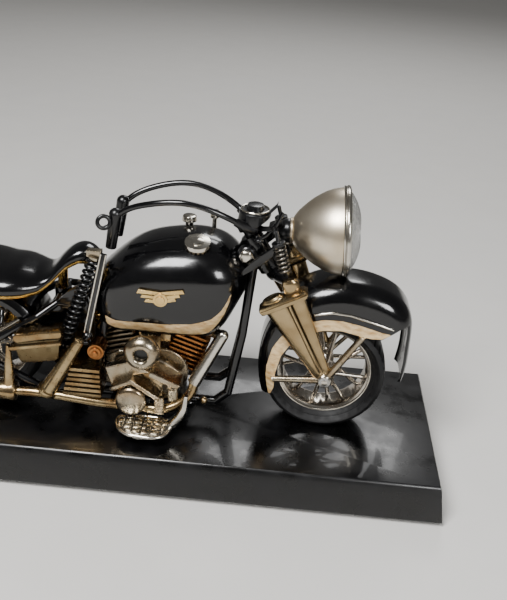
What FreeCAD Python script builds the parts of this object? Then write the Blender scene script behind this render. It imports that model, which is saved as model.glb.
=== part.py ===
import FreeCAD, Part
import math
import os

# Wind-up tin motorcycle on a lacquered plinth.
# Own frame, millimetres: +X to the front wheel, +Y to the machine's left side, +Z up, z = 0 under the feet.

# ---- overall sizes ---------------------------------------------------------------------------
PLINTH_LENGTH = 232.0
PLINTH_WIDTH = 82.0
PLINTH_HEIGHT = 17.4
PLINTH_FLARE = 2.6
FOOT_HEIGHT = 1.4
WHEELBASE = 138.0
TYRE_RADIUS = 24.7
TYRE_HALF_WIDTH = 10.5
RIM_RADIUS = 19.3
RAKE_DEG = 32.0

# ---- clearances ------------------------------------------------------------------------------
GROUND_GAP = 0.4
RUNNING_FIT = 0.05
BODY_GAP = 0.4
FIT_GAP = 0.04

# ---- derived places --------------------------------------------------------------------------
GROUND = PLINTH_HEIGHT
AXLE_Z = GROUND + TYRE_RADIUS + GROUND_GAP
FRONT_X = WHEELBASE / 2
REAR_X = -WHEELBASE / 2
TYRE_INNER = RIM_RADIUS - 1.0

# ---- front end, measured along the steering axis from the axle -------------------------------
FORK_Y = 17.6
FORK_HUB_Y = 12.0
CROWN_LOW = 44.5
CROWN_TOP = 64.0
CROWN_THICK = 3.0
HEAD_RADIUS = 4.2
STEM_RADIUS = 2.4
AXLE_RADIUS = 1.5

# ---- clockwork -------------------------------------------------------------------------------
GEAR_MODULE = 1.0
GEAR_TEETH = 20
IDLER_TEETH = 16
DRIVE_TEETH = 16
GEAR_THICK = 1.6
GEAR_Y = 12.9
TRAIN_MODULE = 0.6
PINION_TEETH = 8
GREAT_TEETH = 28
MESH_GAP = 0.12
ARBOR_RADIUS = 1.3
PLATE_THICK = 0.8
PLATE_Y = 6.0
COVER_Y = 7.2
IDLER_X = REAR_X + GEAR_MODULE * (GEAR_TEETH + IDLER_TEETH) / 2 + MESH_GAP
DRIVE_X = IDLER_X + GEAR_MODULE * (IDLER_TEETH + DRIVE_TEETH) / 2 + MESH_GAP
WINDER_LEAN_DEG = 81.5
REAR_STAY_Y = 17.5

X_AXIS = FreeCAD.Vector(1, 0, 0)
Y_AXIS = FreeCAD.Vector(0, 1, 0)
Z_AXIS = FreeCAD.Vector(0, 0, 1)
ORIGIN = FreeCAD.Vector(0, 0, 0)


def vec(x, y, z):
    """A FreeCAD vector."""
    return FreeCAD.Vector(x, y, z)


# ---- small shape helpers ---------------------------------------------------------------------
def fuse(shapes):
    """One solid from touching shapes."""
    joined = shapes[0]
    if len(shapes) > 1:
        joined = shapes[0].multiFuse(shapes[1:])
    return joined.removeSplitter()


def group(shapes):
    """Separate solids kept together as one node."""
    solids = []
    for shape in shapes:
        solids.extend(shape.Solids)
    return Part.makeCompound(solids)


def main_solid(shape):
    """The largest solid, leaving out slivers trimmed off by a neighbour."""
    return max(shape.Solids, key=lambda solid: solid.Volume)


def mirrored(shape):
    """The same piece on the other side of the machine."""
    return shape.mirror(ORIGIN, Y_AXIS)


def pair(shape):
    """A piece and its mirror twin."""
    return group([shape, mirrored(shape)])


def box(x0, x1, y0, y1, z0, z1):
    """A block between two corners."""
    return Part.makeBox(x1 - x0, y1 - y0, z1 - z0, vec(x0, y0, z0))


def rod(start, end, radius, end_radius=None):
    """A straight round bar or cone between two points."""
    line = end - start
    if end_radius is None or abs(end_radius - radius) < 1e-6:
        return Part.makeCylinder(radius, line.Length, start, line)
    return Part.makeCone(radius, end_radius, line.Length, start, line)


def ball(centre, radius):
    """A sphere."""
    return Part.makeSphere(radius, centre)


def chain(points, radius):
    """Round tube through points with ball corners."""
    pieces = []
    for first, second in zip(points, points[1:]):
        pieces.append(rod(first, second, radius))
    for point in points[1:-1]:
        pieces.append(ball(point, radius))
    return fuse(pieces)


def swept(points, radius):
    """Smooth round tube along a spline."""
    curve = Part.BSplineCurve()
    curve.interpolate(points)
    path = Part.Wire([curve.toShape()])
    tangent = curve.tangent(curve.FirstParameter)[0]
    section = Part.Wire([Part.makeCircle(radius, points[0], tangent)])
    return path.makePipeShell([section], True, True)


def cross_disc(x, z, y0, y1, radius):
    """A disc whose axis runs across the machine."""
    return Part.makeCylinder(radius, y1 - y0, vec(x, y0, z), Y_AXIS)


def cross_ring(x, z, y0, y1, outer, inner):
    """A ring whose axis runs across the machine."""
    return cross_disc(x, z, y0, y1, outer).cut(cross_disc(x, z, y0 - 1, y1 + 1, inner))


def side_plate(points, y0, y1):
    """A flat plate cut to an outline seen from the side."""
    corners = [vec(x, y0, z) for x, z in points]
    face = Part.Face(Part.makePolygon(corners + [corners[0]]))
    return face.extrude(vec(0, y1 - y0, 0))


def side_spline(points, y0, y1):
    """A plate with one smooth closed outline seen from the side."""
    curve = Part.BSplineCurve()
    curve.interpolate([vec(x, y0, z) for x, z in points], PeriodicFlag=True)
    face = Part.Face(Part.Wire([curve.toShape()]))
    return face.extrude(vec(0, y1 - y0, 0))


def turned(profile, x, z):
    """A body of revolution about a cross axis; profile gives (radius, y) corners."""
    corners = [vec(x + radius, y, z) for radius, y in profile]
    face = Part.Face(Part.makePolygon(corners + [corners[0]]))
    return face.revolve(vec(x, 0, z), Y_AXIS, 360)


def turned_x(profile, origin, tilt_deg):
    """A body of revolution about a fore-and-aft axis; profile gives (along, radius) corners."""
    corners = [vec(along, 0, radius) for along, radius in profile]
    face = Part.Face(Part.makePolygon(corners + [corners[0]]))
    body = face.revolve(ORIGIN, X_AXIS, 360)
    body.rotate(ORIGIN, Y_AXIS, -tilt_deg)
    body.translate(origin)
    return body


def coil(start, end, coil_radius, wire_radius, turns):
    """A coil spring standing between two points."""
    line = end - start
    helix = Part.makeHelix(line.Length / turns, line.Length, coil_radius)
    section = Part.Wire([Part.makeCircle(wire_radius, vec(coil_radius, 0, 0), Y_AXIS)])
    spring = Part.Wire(helix.Edges).makePipeShell([section], True, True)
    spring.Placement = FreeCAD.Placement(start, FreeCAD.Rotation(Z_AXIS, line))
    return spring


def squircle(x, y, z, half_y, half_z, power, count=20):
    """Closed smooth section across the machine at one x."""
    points = []
    for step in range(count):
        angle = 2 * math.pi * step / count
        cos_a = math.cos(angle)
        sin_a = math.sin(angle)
        across = math.copysign(abs(cos_a) ** (2 / power), cos_a) * half_y
        height = math.copysign(abs(sin_a) ** (2 / power), sin_a) * half_z
        points.append(vec(x, y + across, z + height))
    curve = Part.BSplineCurve()
    curve.interpolate(points, PeriodicFlag=True)
    return Part.Wire([curve.toShape()])


def lofted(sections):
    """Solid through closed sections."""
    return Part.makeLoft(sections, True)


def fork_point(along, forward, y=0.0):
    """Point given along the steering axis from the axle, forward of it, and across."""
    rake = math.radians(RAKE_DEG)
    x = FRONT_X - along * math.sin(rake) + forward * math.cos(rake)
    z = AXLE_Z + along * math.cos(rake) + forward * math.sin(rake)
    return vec(x, y, z)


def raked(shape):
    """Turn a shape drawn upright at the axle into the raked fork frame."""
    placed = shape.copy()
    placed.rotate(ORIGIN, Y_AXIS, -RAKE_DEG)
    placed.translate(vec(FRONT_X, 0, AXLE_Z))
    return placed


def gear(x, z, y0, teeth, module, bore, phase_deg):
    """Spur gear with straight-flanked teeth, axis across the machine."""
    pitch_radius = module * teeth / 2
    root = pitch_radius - 1.15 * module
    tip = pitch_radius + 0.85 * module
    step = 360 / teeth
    wheel = [cross_disc(x, z, y0, y0 + GEAR_THICK, root)]
    half_root = math.radians(step * 0.31)
    half_tip = math.radians(step * 0.12)
    for tooth in range(teeth):
        angle = math.radians(phase_deg + tooth * step)
        low = root - 0.3 * module
        outline = []
        for radius, offset in ((low, -half_root), (tip, -half_tip), (tip, half_tip), (low, half_root)):
            outline.append((x + radius * math.cos(angle + offset), z + radius * math.sin(angle + offset)))
        wheel.append(side_plate(outline, y0, y0 + GEAR_THICK))
    return fuse(wheel).cut(cross_disc(x, z, y0 - 1, y0 + GEAR_THICK + 1, bore))


# ---- plinth ----------------------------------------------------------------------------------
POST_PLACES = (-32.0, 12.0)
POST_TOP = 24.0
SCREW_RADIUS = 1.5


def plinth_parts():
    """Lacquered plinth, its feet, and the screws that hold the machine down."""
    half_l = PLINTH_LENGTH / 2
    half_w = PLINTH_WIDTH / 2
    levels = (
        (FOOT_HEIGHT, PLINTH_FLARE - 0.8),
        (FOOT_HEIGHT + 1.0, PLINTH_FLARE),
        (GROUND - 1.2, 0.4),
        (GROUND - 0.4, 0.0),
        (GROUND, -0.5),
    )
    body = []
    for (z0, grow0), (z1, grow1) in zip(levels, levels[1:]):
        rings = []
        for z, grow in ((z0, grow0), (z1, grow1)):
            length = half_l + grow
            width = half_w + grow
            corners = [vec(-length, -width, z), vec(length, -width, z), vec(length, width, z), vec(-length, width, z)]
            rings.append(Part.makePolygon(corners + [corners[0]]))
        body.append(Part.makeLoft(rings, True, True))
    block = fuse(body)
    block = block.cut(box(-half_l + 9, half_l - 9, -half_w + 9, half_w - 9, FOOT_HEIGHT - 1, FOOT_HEIGHT + 1.6))
    screws = []
    for x in POST_PLACES:
        head = rod(vec(x, 0, 3.6), vec(x, 0, 6.0), 3.2)
        shank = rod(vec(x, 0, 6.0), vec(x, 0, POST_TOP + 1.4), SCREW_RADIUS)
        slot = box(x - 4, x + 4, -0.4, 0.4, 3.0, 4.4)
        screws.append(fuse([head, shank]).cut(slot))
        block = block.cut(rod(vec(x, 0, FOOT_HEIGHT), vec(x, 0, 6.0), 3.5))
        block = block.cut(rod(vec(x, 0, 5.0), vec(x, 0, GROUND + 1), SCREW_RADIUS))
    feet = []
    for side_x in (-1, 1):
        for side_y in (-1, 1):
            x = side_x * (half_l - 5.5)
            y = side_y * (half_w - 5.5)
            feet.append(rod(vec(x, y, 0), vec(x, y, FOOT_HEIGHT), 3.6, 4.0))
    return {
        "plinth": block,
        "plinth_feet": group(feet),
        "mount_screws": group(screws),
    }


# ---- wheels ----------------------------------------------------------------------------------
SPOKES = 16
HUB_RADIUS = 3.4
TREAD_BLOCKS = 40


def tyre(x):
    """Balloon tyre with blocks cut in its shoulders."""
    width = TYRE_HALF_WIDTH
    outer = TYRE_RADIUS
    profile = [
        (TYRE_INNER, -6.0), (TYRE_INNER + 1.4, -7.4), (TYRE_INNER + 2.6, -9.6), (outer - 2.6, -width),
        (outer - 0.9, -width + 1.2), (outer - 0.2, -5.0), (outer, 0.0), (outer - 0.2, 5.0), (outer - 0.9, width - 1.2),
        (outer - 2.6, width), (TYRE_INNER + 2.6, 9.6), (TYRE_INNER + 1.4, 7.4), (TYRE_INNER, 6.0),
    ]
    body = turned(profile, x, AXLE_Z)
    cuts = []
    for step in range(TREAD_BLOCKS):
        angle = 360 / TREAD_BLOCKS * step
        for side in (-1, 1):
            notch = box(outer - 1.1, outer + 1, side * 7.6 - 3.4, side * 7.6 + 3.4, -0.35, 0.35)
            notch.rotate(ORIGIN, Y_AXIS, angle + (0 if side > 0 else 180 / TREAD_BLOCKS))
            notch.translate(vec(x, 0, AXLE_Z))
            cuts.append(notch)
    return body.cut(Part.makeCompound(cuts))


def wheel(x, hub_left):
    """Cast rim, splayed spokes and hub in one piece."""
    inner = RIM_RADIUS - 2.4
    band = turned([
        (inner + 0.6, -5.2), (RIM_RADIUS, -6.0), (RIM_RADIUS, -5.2), (TYRE_INNER, -4.8), (TYRE_INNER, 4.8),
        (RIM_RADIUS, 5.2), (RIM_RADIUS, 6.0), (inner + 0.6, 5.2), (inner, 3.6), (inner, -3.6),
    ], x, AXLE_Z)
    hub = fuse([
        cross_disc(x, AXLE_Z, -7.6, hub_left, HUB_RADIUS - 0.7),
        cross_disc(x, AXLE_Z, -7.0, -4.6, HUB_RADIUS + 0.8),
        cross_disc(x, AXLE_Z, 4.6, 7.0, HUB_RADIUS + 0.8),
    ])
    spokes = []
    for step in range(SPOKES):
        angle = math.radians(360 / SPOKES * (step + 0.5))
        side = -1 if step % 2 else 1
        start = vec(x + 2.0 * math.cos(angle), side * 5.8, AXLE_Z + 2.0 * math.sin(angle))
        reach = inner + 0.9
        end = vec(x + reach * math.cos(angle), side * 2.2, AXLE_Z + reach * math.sin(angle))
        spokes.append(rod(start, end, 0.95, 0.8))
    bore = cross_disc(x, AXLE_Z, -20, 20, AXLE_RADIUS + RUNNING_FIT)
    return fuse([band, hub] + spokes).cut(bore)


def wheel_parts():
    """Both wheels with tyres and axles."""
    front = wheel(FRONT_X, 7.6)
    rear = wheel(REAR_X, GEAR_Y + GEAR_THICK)
    front_tyre = tyre(FRONT_X).cut(front)
    rear_tyre = tyre(REAR_X).cut(rear)
    nut_y = FORK_HUB_Y + 1.6
    front_axle = fuse([
        cross_disc(FRONT_X, AXLE_Z, -nut_y, nut_y, AXLE_RADIUS),
        cross_disc(FRONT_X, AXLE_Z, -nut_y - 1.6, -nut_y, 2.4),
        cross_disc(FRONT_X, AXLE_Z, nut_y, nut_y + 1.6, 2.4),
    ])
    rear_nut = REAR_STAY_Y + 0.8
    rear_axle = fuse([
        cross_disc(REAR_X, AXLE_Z, -rear_nut, rear_nut, AXLE_RADIUS),
        cross_disc(REAR_X, AXLE_Z, -rear_nut - 1.8, -rear_nut, 2.6),
        cross_disc(REAR_X, AXLE_Z, rear_nut, rear_nut + 1.8, 2.6),
    ])
    return {
        "front_wheel": front,
        "front_tyre": front_tyre,
        "rear_wheel": rear,
        "rear_tyre": rear_tyre,
        "front_axle": front_axle,
        "rear_axle": rear_axle,
    }


# ---- fork and steering -----------------------------------------------------------------------
def fork_side():
    """Right fork casting: two tapered struts, a strap collar and the axle boss."""
    hub = vec(0, -FORK_HUB_Y, 0)
    rear_top = vec(-0.6, -FORK_Y, 44.0)
    front_top = vec(8.6, -FORK_Y, 47.5)
    rear_leg = rod(vec(-0.8, hub.y, 1.0), rear_top, 2.3, 5.1)
    front_leg = rod(vec(1.2, hub.y, 1.0), front_top, 1.9, 3.6)
    slab = Part.makeBox(60, 4.6, 90, vec(-30, -2.3, -20))
    lean = math.degrees(math.atan2(FORK_Y - FORK_HUB_Y, 46.0))
    slab.rotate(ORIGIN, X_AXIS, lean)
    slab.translate(vec(0, -FORK_HUB_Y, 0))
    legs = fuse([rear_leg, front_leg]).common(slab)
    boss = Part.makeCylinder(3.4, 4.4, vec(0, -FORK_HUB_Y - 1.6, 0), Y_AXIS)
    collar = Part.makeBox(19.5, 6.0, 3.0, vec(-6.6, -FORK_Y - 2.6, 39.2))
    casting = fuse([legs, boss, collar])
    bore = Part.makeCylinder(AXLE_RADIUS, 30, vec(0, -30, 0), Y_AXIS)
    nut_space = Part.makeCylinder(2.6, 6, vec(0, -FORK_HUB_Y - 7.6, 0), Y_AXIS)
    return casting.cut(bore).cut(nut_space)


def fork_parts():
    """Everything that turns with the handlebar, apart from lamp, fender and bars."""
    right = fork_side()
    low = Part.makeBox(14.0, 2 * FORK_Y - 5.2, CROWN_THICK, vec(-4.0, -FORK_Y + 2.6, CROWN_LOW))
    low_lug = Part.makeCylinder(HEAD_RADIUS + 1.0, CROWN_THICK, vec(0, 0, CROWN_LOW))
    low = fuse([low, low_lug])
    top_plate = fuse([
        Part.makeCylinder(HEAD_RADIUS + 1.2, CROWN_THICK, vec(0, 0, CROWN_TOP)),
        Part.makeBox(11.5, 30.0, CROWN_THICK, vec(2.5, -15.0, CROWN_TOP)),
    ])
    rods = []
    springs = []
    for side in (-1, 1):
        foot = vec(7.0, side * 13.4, CROWN_LOW + CROWN_THICK)
        head = vec(12.0, side * 13.0, CROWN_TOP + 1.0)
        rods.append(rod(foot - (head - foot) * 0.06, head, 0.8))
        start = foot + (head - foot) * 0.07
        end = foot + (head - foot) * 0.64
        springs.append(coil(start, end, 2.1, 0.5, 6))
        washer = rod(end + (head - foot) * 0.05, end + (head - foot) * 0.12, 2.6)
        rods.append(washer)
    rod_shape = []
    for side in (0, 1):
        rod_shape.append(fuse([rods[2 * side], rods[2 * side + 1]]))
    rod_group = group(rod_shape)
    low = low.cut(rod_group)
    top_plate = top_plate.cut(rod_group)
    stem = fuse([
        Part.makeCylinder(STEM_RADIUS, CROWN_TOP + CROWN_THICK - CROWN_LOW, vec(0, 0, CROWN_LOW)),
        Part.makeCylinder(3.6, 1.8, vec(0, 0, CROWN_TOP + CROWN_THICK)),
    ])
    return {
        "fork_sides": raked(pair(right)),
        "fork_crowns": raked(fuse([low, top_plate, stem])),
        "fork_springs": raked(group(springs)),
        "fork_spring_rods": raked(rod_group),
    }


# ---- front fender ----------------------------------------------------------------------------
FENDER_HALF_WIDTH = 12.6
FENDER_SKIN = 0.9
HOOD_OUTLINE = (
    (-24.8, -11.0), (-26.8, 0.0), (-26.2, 12.0), (-21.6, 25.0), (-13.4, 34.9), (-2.0, 40.2), (8.0, 40.9),
    (18.0, 39.0), (26.0, 35.0), (31.0, 28.0), (32.2, 18.0), (32.4, 8.0), (31.6, 0.0),
)
HOOD_INSIDE = ((26.6, -1.0), (26.0, 14.0), (12.0, 25.8), (-4.0, 25.6), (-19.0, 16.0), (-21.0, -11.0))


def front_place(points):
    """Side-view points given from the front axle."""
    return [(FRONT_X + x, AXLE_Z + z) for x, z in points]


def hood_block(shrink, half_width):
    """Solid hood between its outer curve and the tyre, drawn in by a skin."""
    outer = []
    for x, z in HOOD_OUTLINE:
        radius = math.hypot(x, z)
        outer.append((x * (radius - shrink) / radius, z * (radius - shrink) / radius))
    curve = Part.BSplineCurve()
    curve.interpolate([vec(FRONT_X + x, -half_width, AXLE_Z + z) for x, z in outer])
    start = curve.StartPoint
    end = curve.EndPoint
    tail = vec(FRONT_X, -half_width, AXLE_Z)
    wire = Part.Wire([curve.toShape(), Part.makeLine(end, tail), Part.makeLine(tail, start)])
    block = Part.Face(wire).extrude(vec(0, 2 * half_width, 0))
    edges = [edge for edge in block.Edges if len(edge.Vertexes) == 2 and edge.Length > 60]
    return block.makeFillet(half_width - 4.6, edges)


def fender_parts():
    """Deep front fender with its raised beads and stays."""
    shell = hood_block(0.0, FENDER_HALF_WIDTH).cut(hood_block(FENDER_SKIN, FENDER_HALF_WIDTH - FENDER_SKIN))
    opening = side_plate(front_place([
        (-19.6, -14.0), (-19.6, 0.0), (-17.6, 9.0), (-12.0, 16.6), (-4.0, 21.6), (4.0, 22.4), (11.0, 21.0),
        (16.0, 20.0), (20.0, 20.2), (23.0, 22.4), (26.5, 25.0), (40.0, 28.0), (40.0, -14.0),
    ]), -20, 20)
    crown_keep = box(FRONT_X, FRONT_X + 60, -8.8, 8.8, AXLE_Z - 3.0, AXLE_Z + 60)
    skirts = shell.cut(opening)
    lip = shell.common(crown_keep)
    fender = fuse([skirts, lip])
    slab_y = FENDER_HALF_WIDTH
    bead_points = [vec(FRONT_X + x, -slab_y - 0.1, AXLE_Z + z) for x, z in (
        (-7.0, 28.4), (0.0, 30.0), (7.0, 29.6), (15.0, 27.6), (24.0, 25.0))]
    bead = chain(bead_points, 0.55)
    stay_up = rod(vec(1.5, -FORK_HUB_Y - 0.2, 2.0), vec(12.6, -FENDER_HALF_WIDTH - 0.5, 20.8), 0.95)
    stay_back = rod(vec(-2.5, -FORK_HUB_Y - 0.2, -0.3), vec(-20.6, -FENDER_HALF_WIDTH - 0.5, -1.5), 0.95)
    added = [bead]
    for stay in (stay_up, stay_back):
        stay.translate(vec(FRONT_X, 0, AXLE_Z))
        added.append(stay)
    forks = raked(pair(fork_side()))
    axle_nuts = cross_disc(FRONT_X, AXLE_Z, -20, 20, 2.6)
    added += [mirrored(piece) for piece in added]
    fender = fuse([fender] + [piece.cut(forks).cut(axle_nuts) for piece in added])
    tyre_space = turned([
        (0.0, -TYRE_HALF_WIDTH - BODY_GAP), (TYRE_RADIUS - 2.2, -TYRE_HALF_WIDTH - BODY_GAP),
        (TYRE_RADIUS + BODY_GAP, -TYRE_HALF_WIDTH + 2.6), (TYRE_RADIUS + BODY_GAP, TYRE_HALF_WIDTH - 2.6),
        (TYRE_RADIUS - 2.2, TYRE_HALF_WIDTH + BODY_GAP), (0.0, TYRE_HALF_WIDTH + BODY_GAP),
    ], FRONT_X, AXLE_Z)
    lamp_space = turned_x([
        (-19.0, 0.0), (-19.0, 6.0), (-11.0, 13.2), (-6.0, 16.0), (0.0, 17.4), (3.0, 17.6), (3.0, 0.0),
    ], LAMP_SEAM, LAMP_TILT)
    fender = fender.cut(forks).cut(tyre_space).cut(lamp_space).cut(fork_parts()["fork_crowns"])
    return {"front_fender": main_solid(fender)}


# ---- headlamp --------------------------------------------------------------------------------
LAMP_RADIUS = 16.9
LAMP_TILT = 4.0
LAMP_SEAM = vec(69.8, 0, 101.0)


def lamp_parts():
    """Bullet headlamp with bezel, lens, reflector and its arm."""
    shell = turned_x([
        (-19.4, 0.0), (-19.4, 4.2), (-18.0, 6.2), (-15.0, 9.4), (-11.0, 12.6), (-6.0, 15.4), (-1.0, 16.6), (0.0, 16.6),
        (0.0, 15.6), (-5.6, 14.4), (-10.4, 11.6), (-14.4, 8.4), (-17.2, 4.8), (-17.8, 0.0),
    ], LAMP_SEAM, LAMP_TILT)
    bezel = turned_x([
        (0.0, 14.2), (0.0, 17.2), (1.6, 17.4), (2.6, 16.8), (2.6, 14.8), (1.0, 14.8), (1.0, 14.2),
    ], LAMP_SEAM, LAMP_TILT)
    lens = turned_x([
        (1.0, 12.6), (1.0, 14.8), (2.6, 14.8), (4.6, 11.6), (6.0, 7.0), (6.6, 0.0),
        (5.6, 0.0), (5.0, 6.4), (3.4, 10.8), (1.8, 12.6),
    ], LAMP_SEAM, LAMP_TILT)
    reflector = turned_x([
        (1.0, 12.6), (1.0, 14.2), (0.0, 14.2), (0.0, 13.6), (-4.0, 11.4), (-7.4, 7.6), (-9.0, 3.0), (-9.0, 0.0),
        (-2.4, 0.0), (-2.4, 1.2), (-3.0, 1.8), (-5.0, 1.8), (-5.8, 1.2), (-8.2, 1.2), (-8.2, 2.8), (-6.6, 7.0),
        (-3.4, 10.4), (0.4, 12.6),
    ], LAMP_SEAM, LAMP_TILT)
    neck = vec(49.4, 0, 99.4)
    cup = ball(neck, 4.6).cut(shell)
    arm = fuse([
        cup,
        rod(vec(42.0, 0, 101.2), neck, 2.6, 2.2),
        rod(vec(45.2, -6.4, 106.6), vec(46.0, 0, 100.6), 1.4),
    ]).cut(fork_parts()["fork_crowns"]).cut(speed_drum_shape())
    return {
        "lamp_shell": shell,
        "lamp_bezel": bezel,
        "lamp_lens": lens,
        "lamp_reflector": reflector,
        "lamp_arm": main_solid(arm),
    }


# ---- handlebar -------------------------------------------------------------------------------
BAR_RADIUS = 1.15
GRIP_RADIUS = 2.5


def speed_drum_shape():
    """Round instrument on the top crown."""
    drum = fuse([
        rod(vec(36.2, 0, 101.8), vec(36.2, 0, 106.0), 6.4, 6.0),
        rod(vec(36.2, 0, 106.0), vec(36.2, 0, 106.8), 6.0, 5.0),
        rod(vec(36.2, 0, 106.8), vec(36.2, 0, 108.8), 3.4, 3.1),
    ])
    return main_solid(drum.cut(fork_parts()["fork_crowns"]))


def bar_parts():
    """Swept-back handlebar with grips, throttle ring, lever and the instrument."""
    right = swept([
        vec(34.5, -5.0, 100.6), vec(26.0, -9.0, 106.0), vec(12.0, -11.0, 110.6), vec(-3.0, -10.0, 108.6),
        vec(-12.0, -8.0, 104.4), vec(-16.6, -6.6, 99.0),
    ], BAR_RADIUS)
    bar = fuse([right, mirrored(right), rod(vec(34.5, -5.4, 100.6), vec(34.5, 5.4, 100.6), BAR_RADIUS + 0.5)])
    grip = fuse([
        rod(vec(-15.4, -7.0, 102.4), vec(-17.4, -6.2, 88.6), GRIP_RADIUS, GRIP_RADIUS - 0.4),
        ball(vec(-15.4, -7.0, 102.4), GRIP_RADIUS),
    ])
    ring = fuse([
        Part.makeTorus(2.3, 0.8, vec(-19.2, -10.4, 100.2), vec(0.3, -1, 0.2)),
        rod(vec(-17.2, -8.2, 98.4), vec(-19.0, -9.9, 98.0), 0.6),
    ])
    grips = group([fuse([grip, ring]), mirrored(grip)])
    drum = speed_drum_shape()
    bar = bar.cut(grips).cut(drum).cut(fork_parts()["fork_crowns"])
    return {
        "handlebar": main_solid(bar),
        "grips": grips,
        "speed_drum": drum,
    }


# ---- frame -----------------------------------------------------------------------------------
TUBE = 1.8
RAIL_Z = 25.4
RAIL_Y = 9.0
SEAT_TUBE_Y = 10.2
SEAT_STAY_Y = 8.4
SEAT_POST_X = -38.0
SEAT_POST_RADIUS = 2.0
FRAME_CACHE = []


def both_sides(points, radius):
    """A chain of tube on the right and on the left."""
    right = chain([vec(x, -y, z) for x, y, z in points], radius)
    return [right, mirrored(right)]


def frame_shape():
    """Welded tube frame with head, rails, stays, cross plates and seat-post sleeve."""
    if FRAME_CACHE:
        return FRAME_CACHE[0]
    low = CROWN_LOW + CROWN_THICK + BODY_GAP
    high = CROWN_TOP - BODY_GAP
    pieces = [rod(fork_point(low, 0), fork_point(high, 0), HEAD_RADIUS)]
    pieces.append(chain([fork_point(53, 0), vec(29, 0, 74), vec(0, 0, 67), vec(-17, 0, 66)], 2.2))
    pieces += both_sides([
        (37.6, 2.0, 88.9), (36.6, 3.6, 77.0), (35.0, 6.4, 56.0), (31.0, 8.8, 30.0), (26.0, RAIL_Y, RAIL_Z),
        (-20.0, RAIL_Y, RAIL_Z),
        (-38.0, REAR_STAY_Y, 27.0), (REAR_X, REAR_STAY_Y, AXLE_Z),
    ], TUBE)
    pieces += both_sides([(-15.0, 1.0, 66.0), (-18.6, SEAT_TUBE_Y, 63.5), (-23.0, SEAT_TUBE_Y, RAIL_Z)], TUBE - 0.2)
    pieces += both_sides([
        (-18.6, SEAT_STAY_Y, 63.5), (SEAT_POST_X, SEAT_STAY_Y + 1.2, 64.2), (-44.5, 14.8, 60.0),
        (REAR_X, REAR_STAY_Y, AXLE_Z + 1.0),
    ], TUBE - 0.3)
    cross_y = SEAT_STAY_Y + 1.2
    pieces.append(rod(vec(SEAT_POST_X, -cross_y, 64.2), vec(SEAT_POST_X, cross_y, 64.2), TUBE - 0.3))
    pieces.append(rod(vec(SEAT_POST_X, 0, 61.4), vec(SEAT_POST_X, 0, 67.2), 3.3))
    for y in (-REAR_STAY_Y - 0.8, REAR_STAY_Y - 0.8):
        pieces.append(cross_disc(REAR_X, AXLE_Z, y, y + 1.6, 4.4))
    pieces.append(box(-36.0, -28.0, -14.0, 14.0, POST_TOP, POST_TOP + 2.0))
    pieces.append(box(8.0, 16.0, -RAIL_Y, RAIL_Y, POST_TOP, POST_TOP + 2.0))
    for x in POST_PLACES:
        pieces.append(rod(vec(x, 0, GROUND), vec(x, 0, GROUND + 1.2), 4.6))
        pieces.append(rod(vec(x, 0, GROUND), vec(x, 0, POST_TOP), 3.2))
    pieces.append(rod(vec(-66.0, -20.0, 34.0), vec(-66.0, -REAR_STAY_Y, 40.6), 1.0))
    pieces.append(rod(vec(-15.0, -20.6, 27.0), vec(-15.0, -RAIL_Y, RAIL_Z), 0.8))
    pieces.append(side_plate([
        (IDLER_X - 2.4, 33.0), (IDLER_X - 2.4, 45.0), (IDLER_X + 2.4, 45.0), (IDLER_X + 2.4, 33.0),
    ], GEAR_Y + GEAR_THICK + 0.5, GEAR_Y + GEAR_THICK + 2.4))
    pieces.append(cross_disc(IDLER_X, AXLE_Z, GEAR_Y - 0.4, GEAR_Y + GEAR_THICK + 0.6, ARBOR_RADIUS))
    pieces.append(ball(vec(21.8, -14.0, 28.2), 1.4))
    pieces.append(chain([vec(21.8, -14.0, 28.2), vec(19.4, -13.0, 27.4), vec(20.4, -9.4, 26.4)], 0.6))
    frame = fuse(pieces)
    frame = frame.cut(rod(fork_point(low - 2, 0), fork_point(high + 2, 0), STEM_RADIUS + RUNNING_FIT))
    frame = frame.cut(rod(vec(SEAT_POST_X, 0, 60), vec(SEAT_POST_X, 0, 72), SEAT_POST_RADIUS + RUNNING_FIT))
    frame = frame.cut(cross_disc(REAR_X, AXLE_Z, -30, 30, AXLE_RADIUS))
    rear_face = REAR_STAY_Y + 0.8
    for y in (-rear_face - 4.0, rear_face):
        frame = frame.cut(cross_disc(REAR_X, AXLE_Z, y, y + 4.0, 3.0))
    for x in POST_PLACES:
        frame = frame.cut(rod(vec(x, 0, GROUND - 1), vec(x, 0, POST_TOP + 1.4), SCREW_RADIUS))
    FRAME_CACHE.append(frame)
    return frame


def frame_parts():
    """The frame with its posts, pipe lugs and idler pin."""
    return {"frame": frame_shape()}


# ---- engine ----------------------------------------------------------------------------------
FIN_COUNT = 8
FIN_PITCH = 2.1
FIN_HALF = 7.4


def cylinder(x, z, lean_deg, first_fin):
    """Finned barrel with a plain head, leaning fore or aft."""
    fins = [Part.makeCylinder(5.0, first_fin + FIN_COUNT * FIN_PITCH + 0.6, ORIGIN, Z_AXIS)]
    for step in range(FIN_COUNT):
        height = first_fin + step * FIN_PITCH
        fin = Part.makeBox(2 * FIN_HALF, 2 * FIN_HALF, 1.0, vec(-FIN_HALF, -FIN_HALF, height))
        upright = [edge for edge in fin.Edges if abs(edge.tangentAt(edge.FirstParameter).z) > 0.9]
        fins.append(fin.makeFillet(1.6, upright))
    top = first_fin + FIN_COUNT * FIN_PITCH
    head = Part.makeBox(11.0, 12.0, 2.8, vec(-5.5, -6.0, top))
    fins.append(head.makeChamfer(0.8, head.Edges[:4]))
    barrel = fuse(fins)
    barrel.rotate(ORIGIN, Y_AXIS, lean_deg)
    barrel.translate(vec(x, 0, z))
    return barrel


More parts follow.
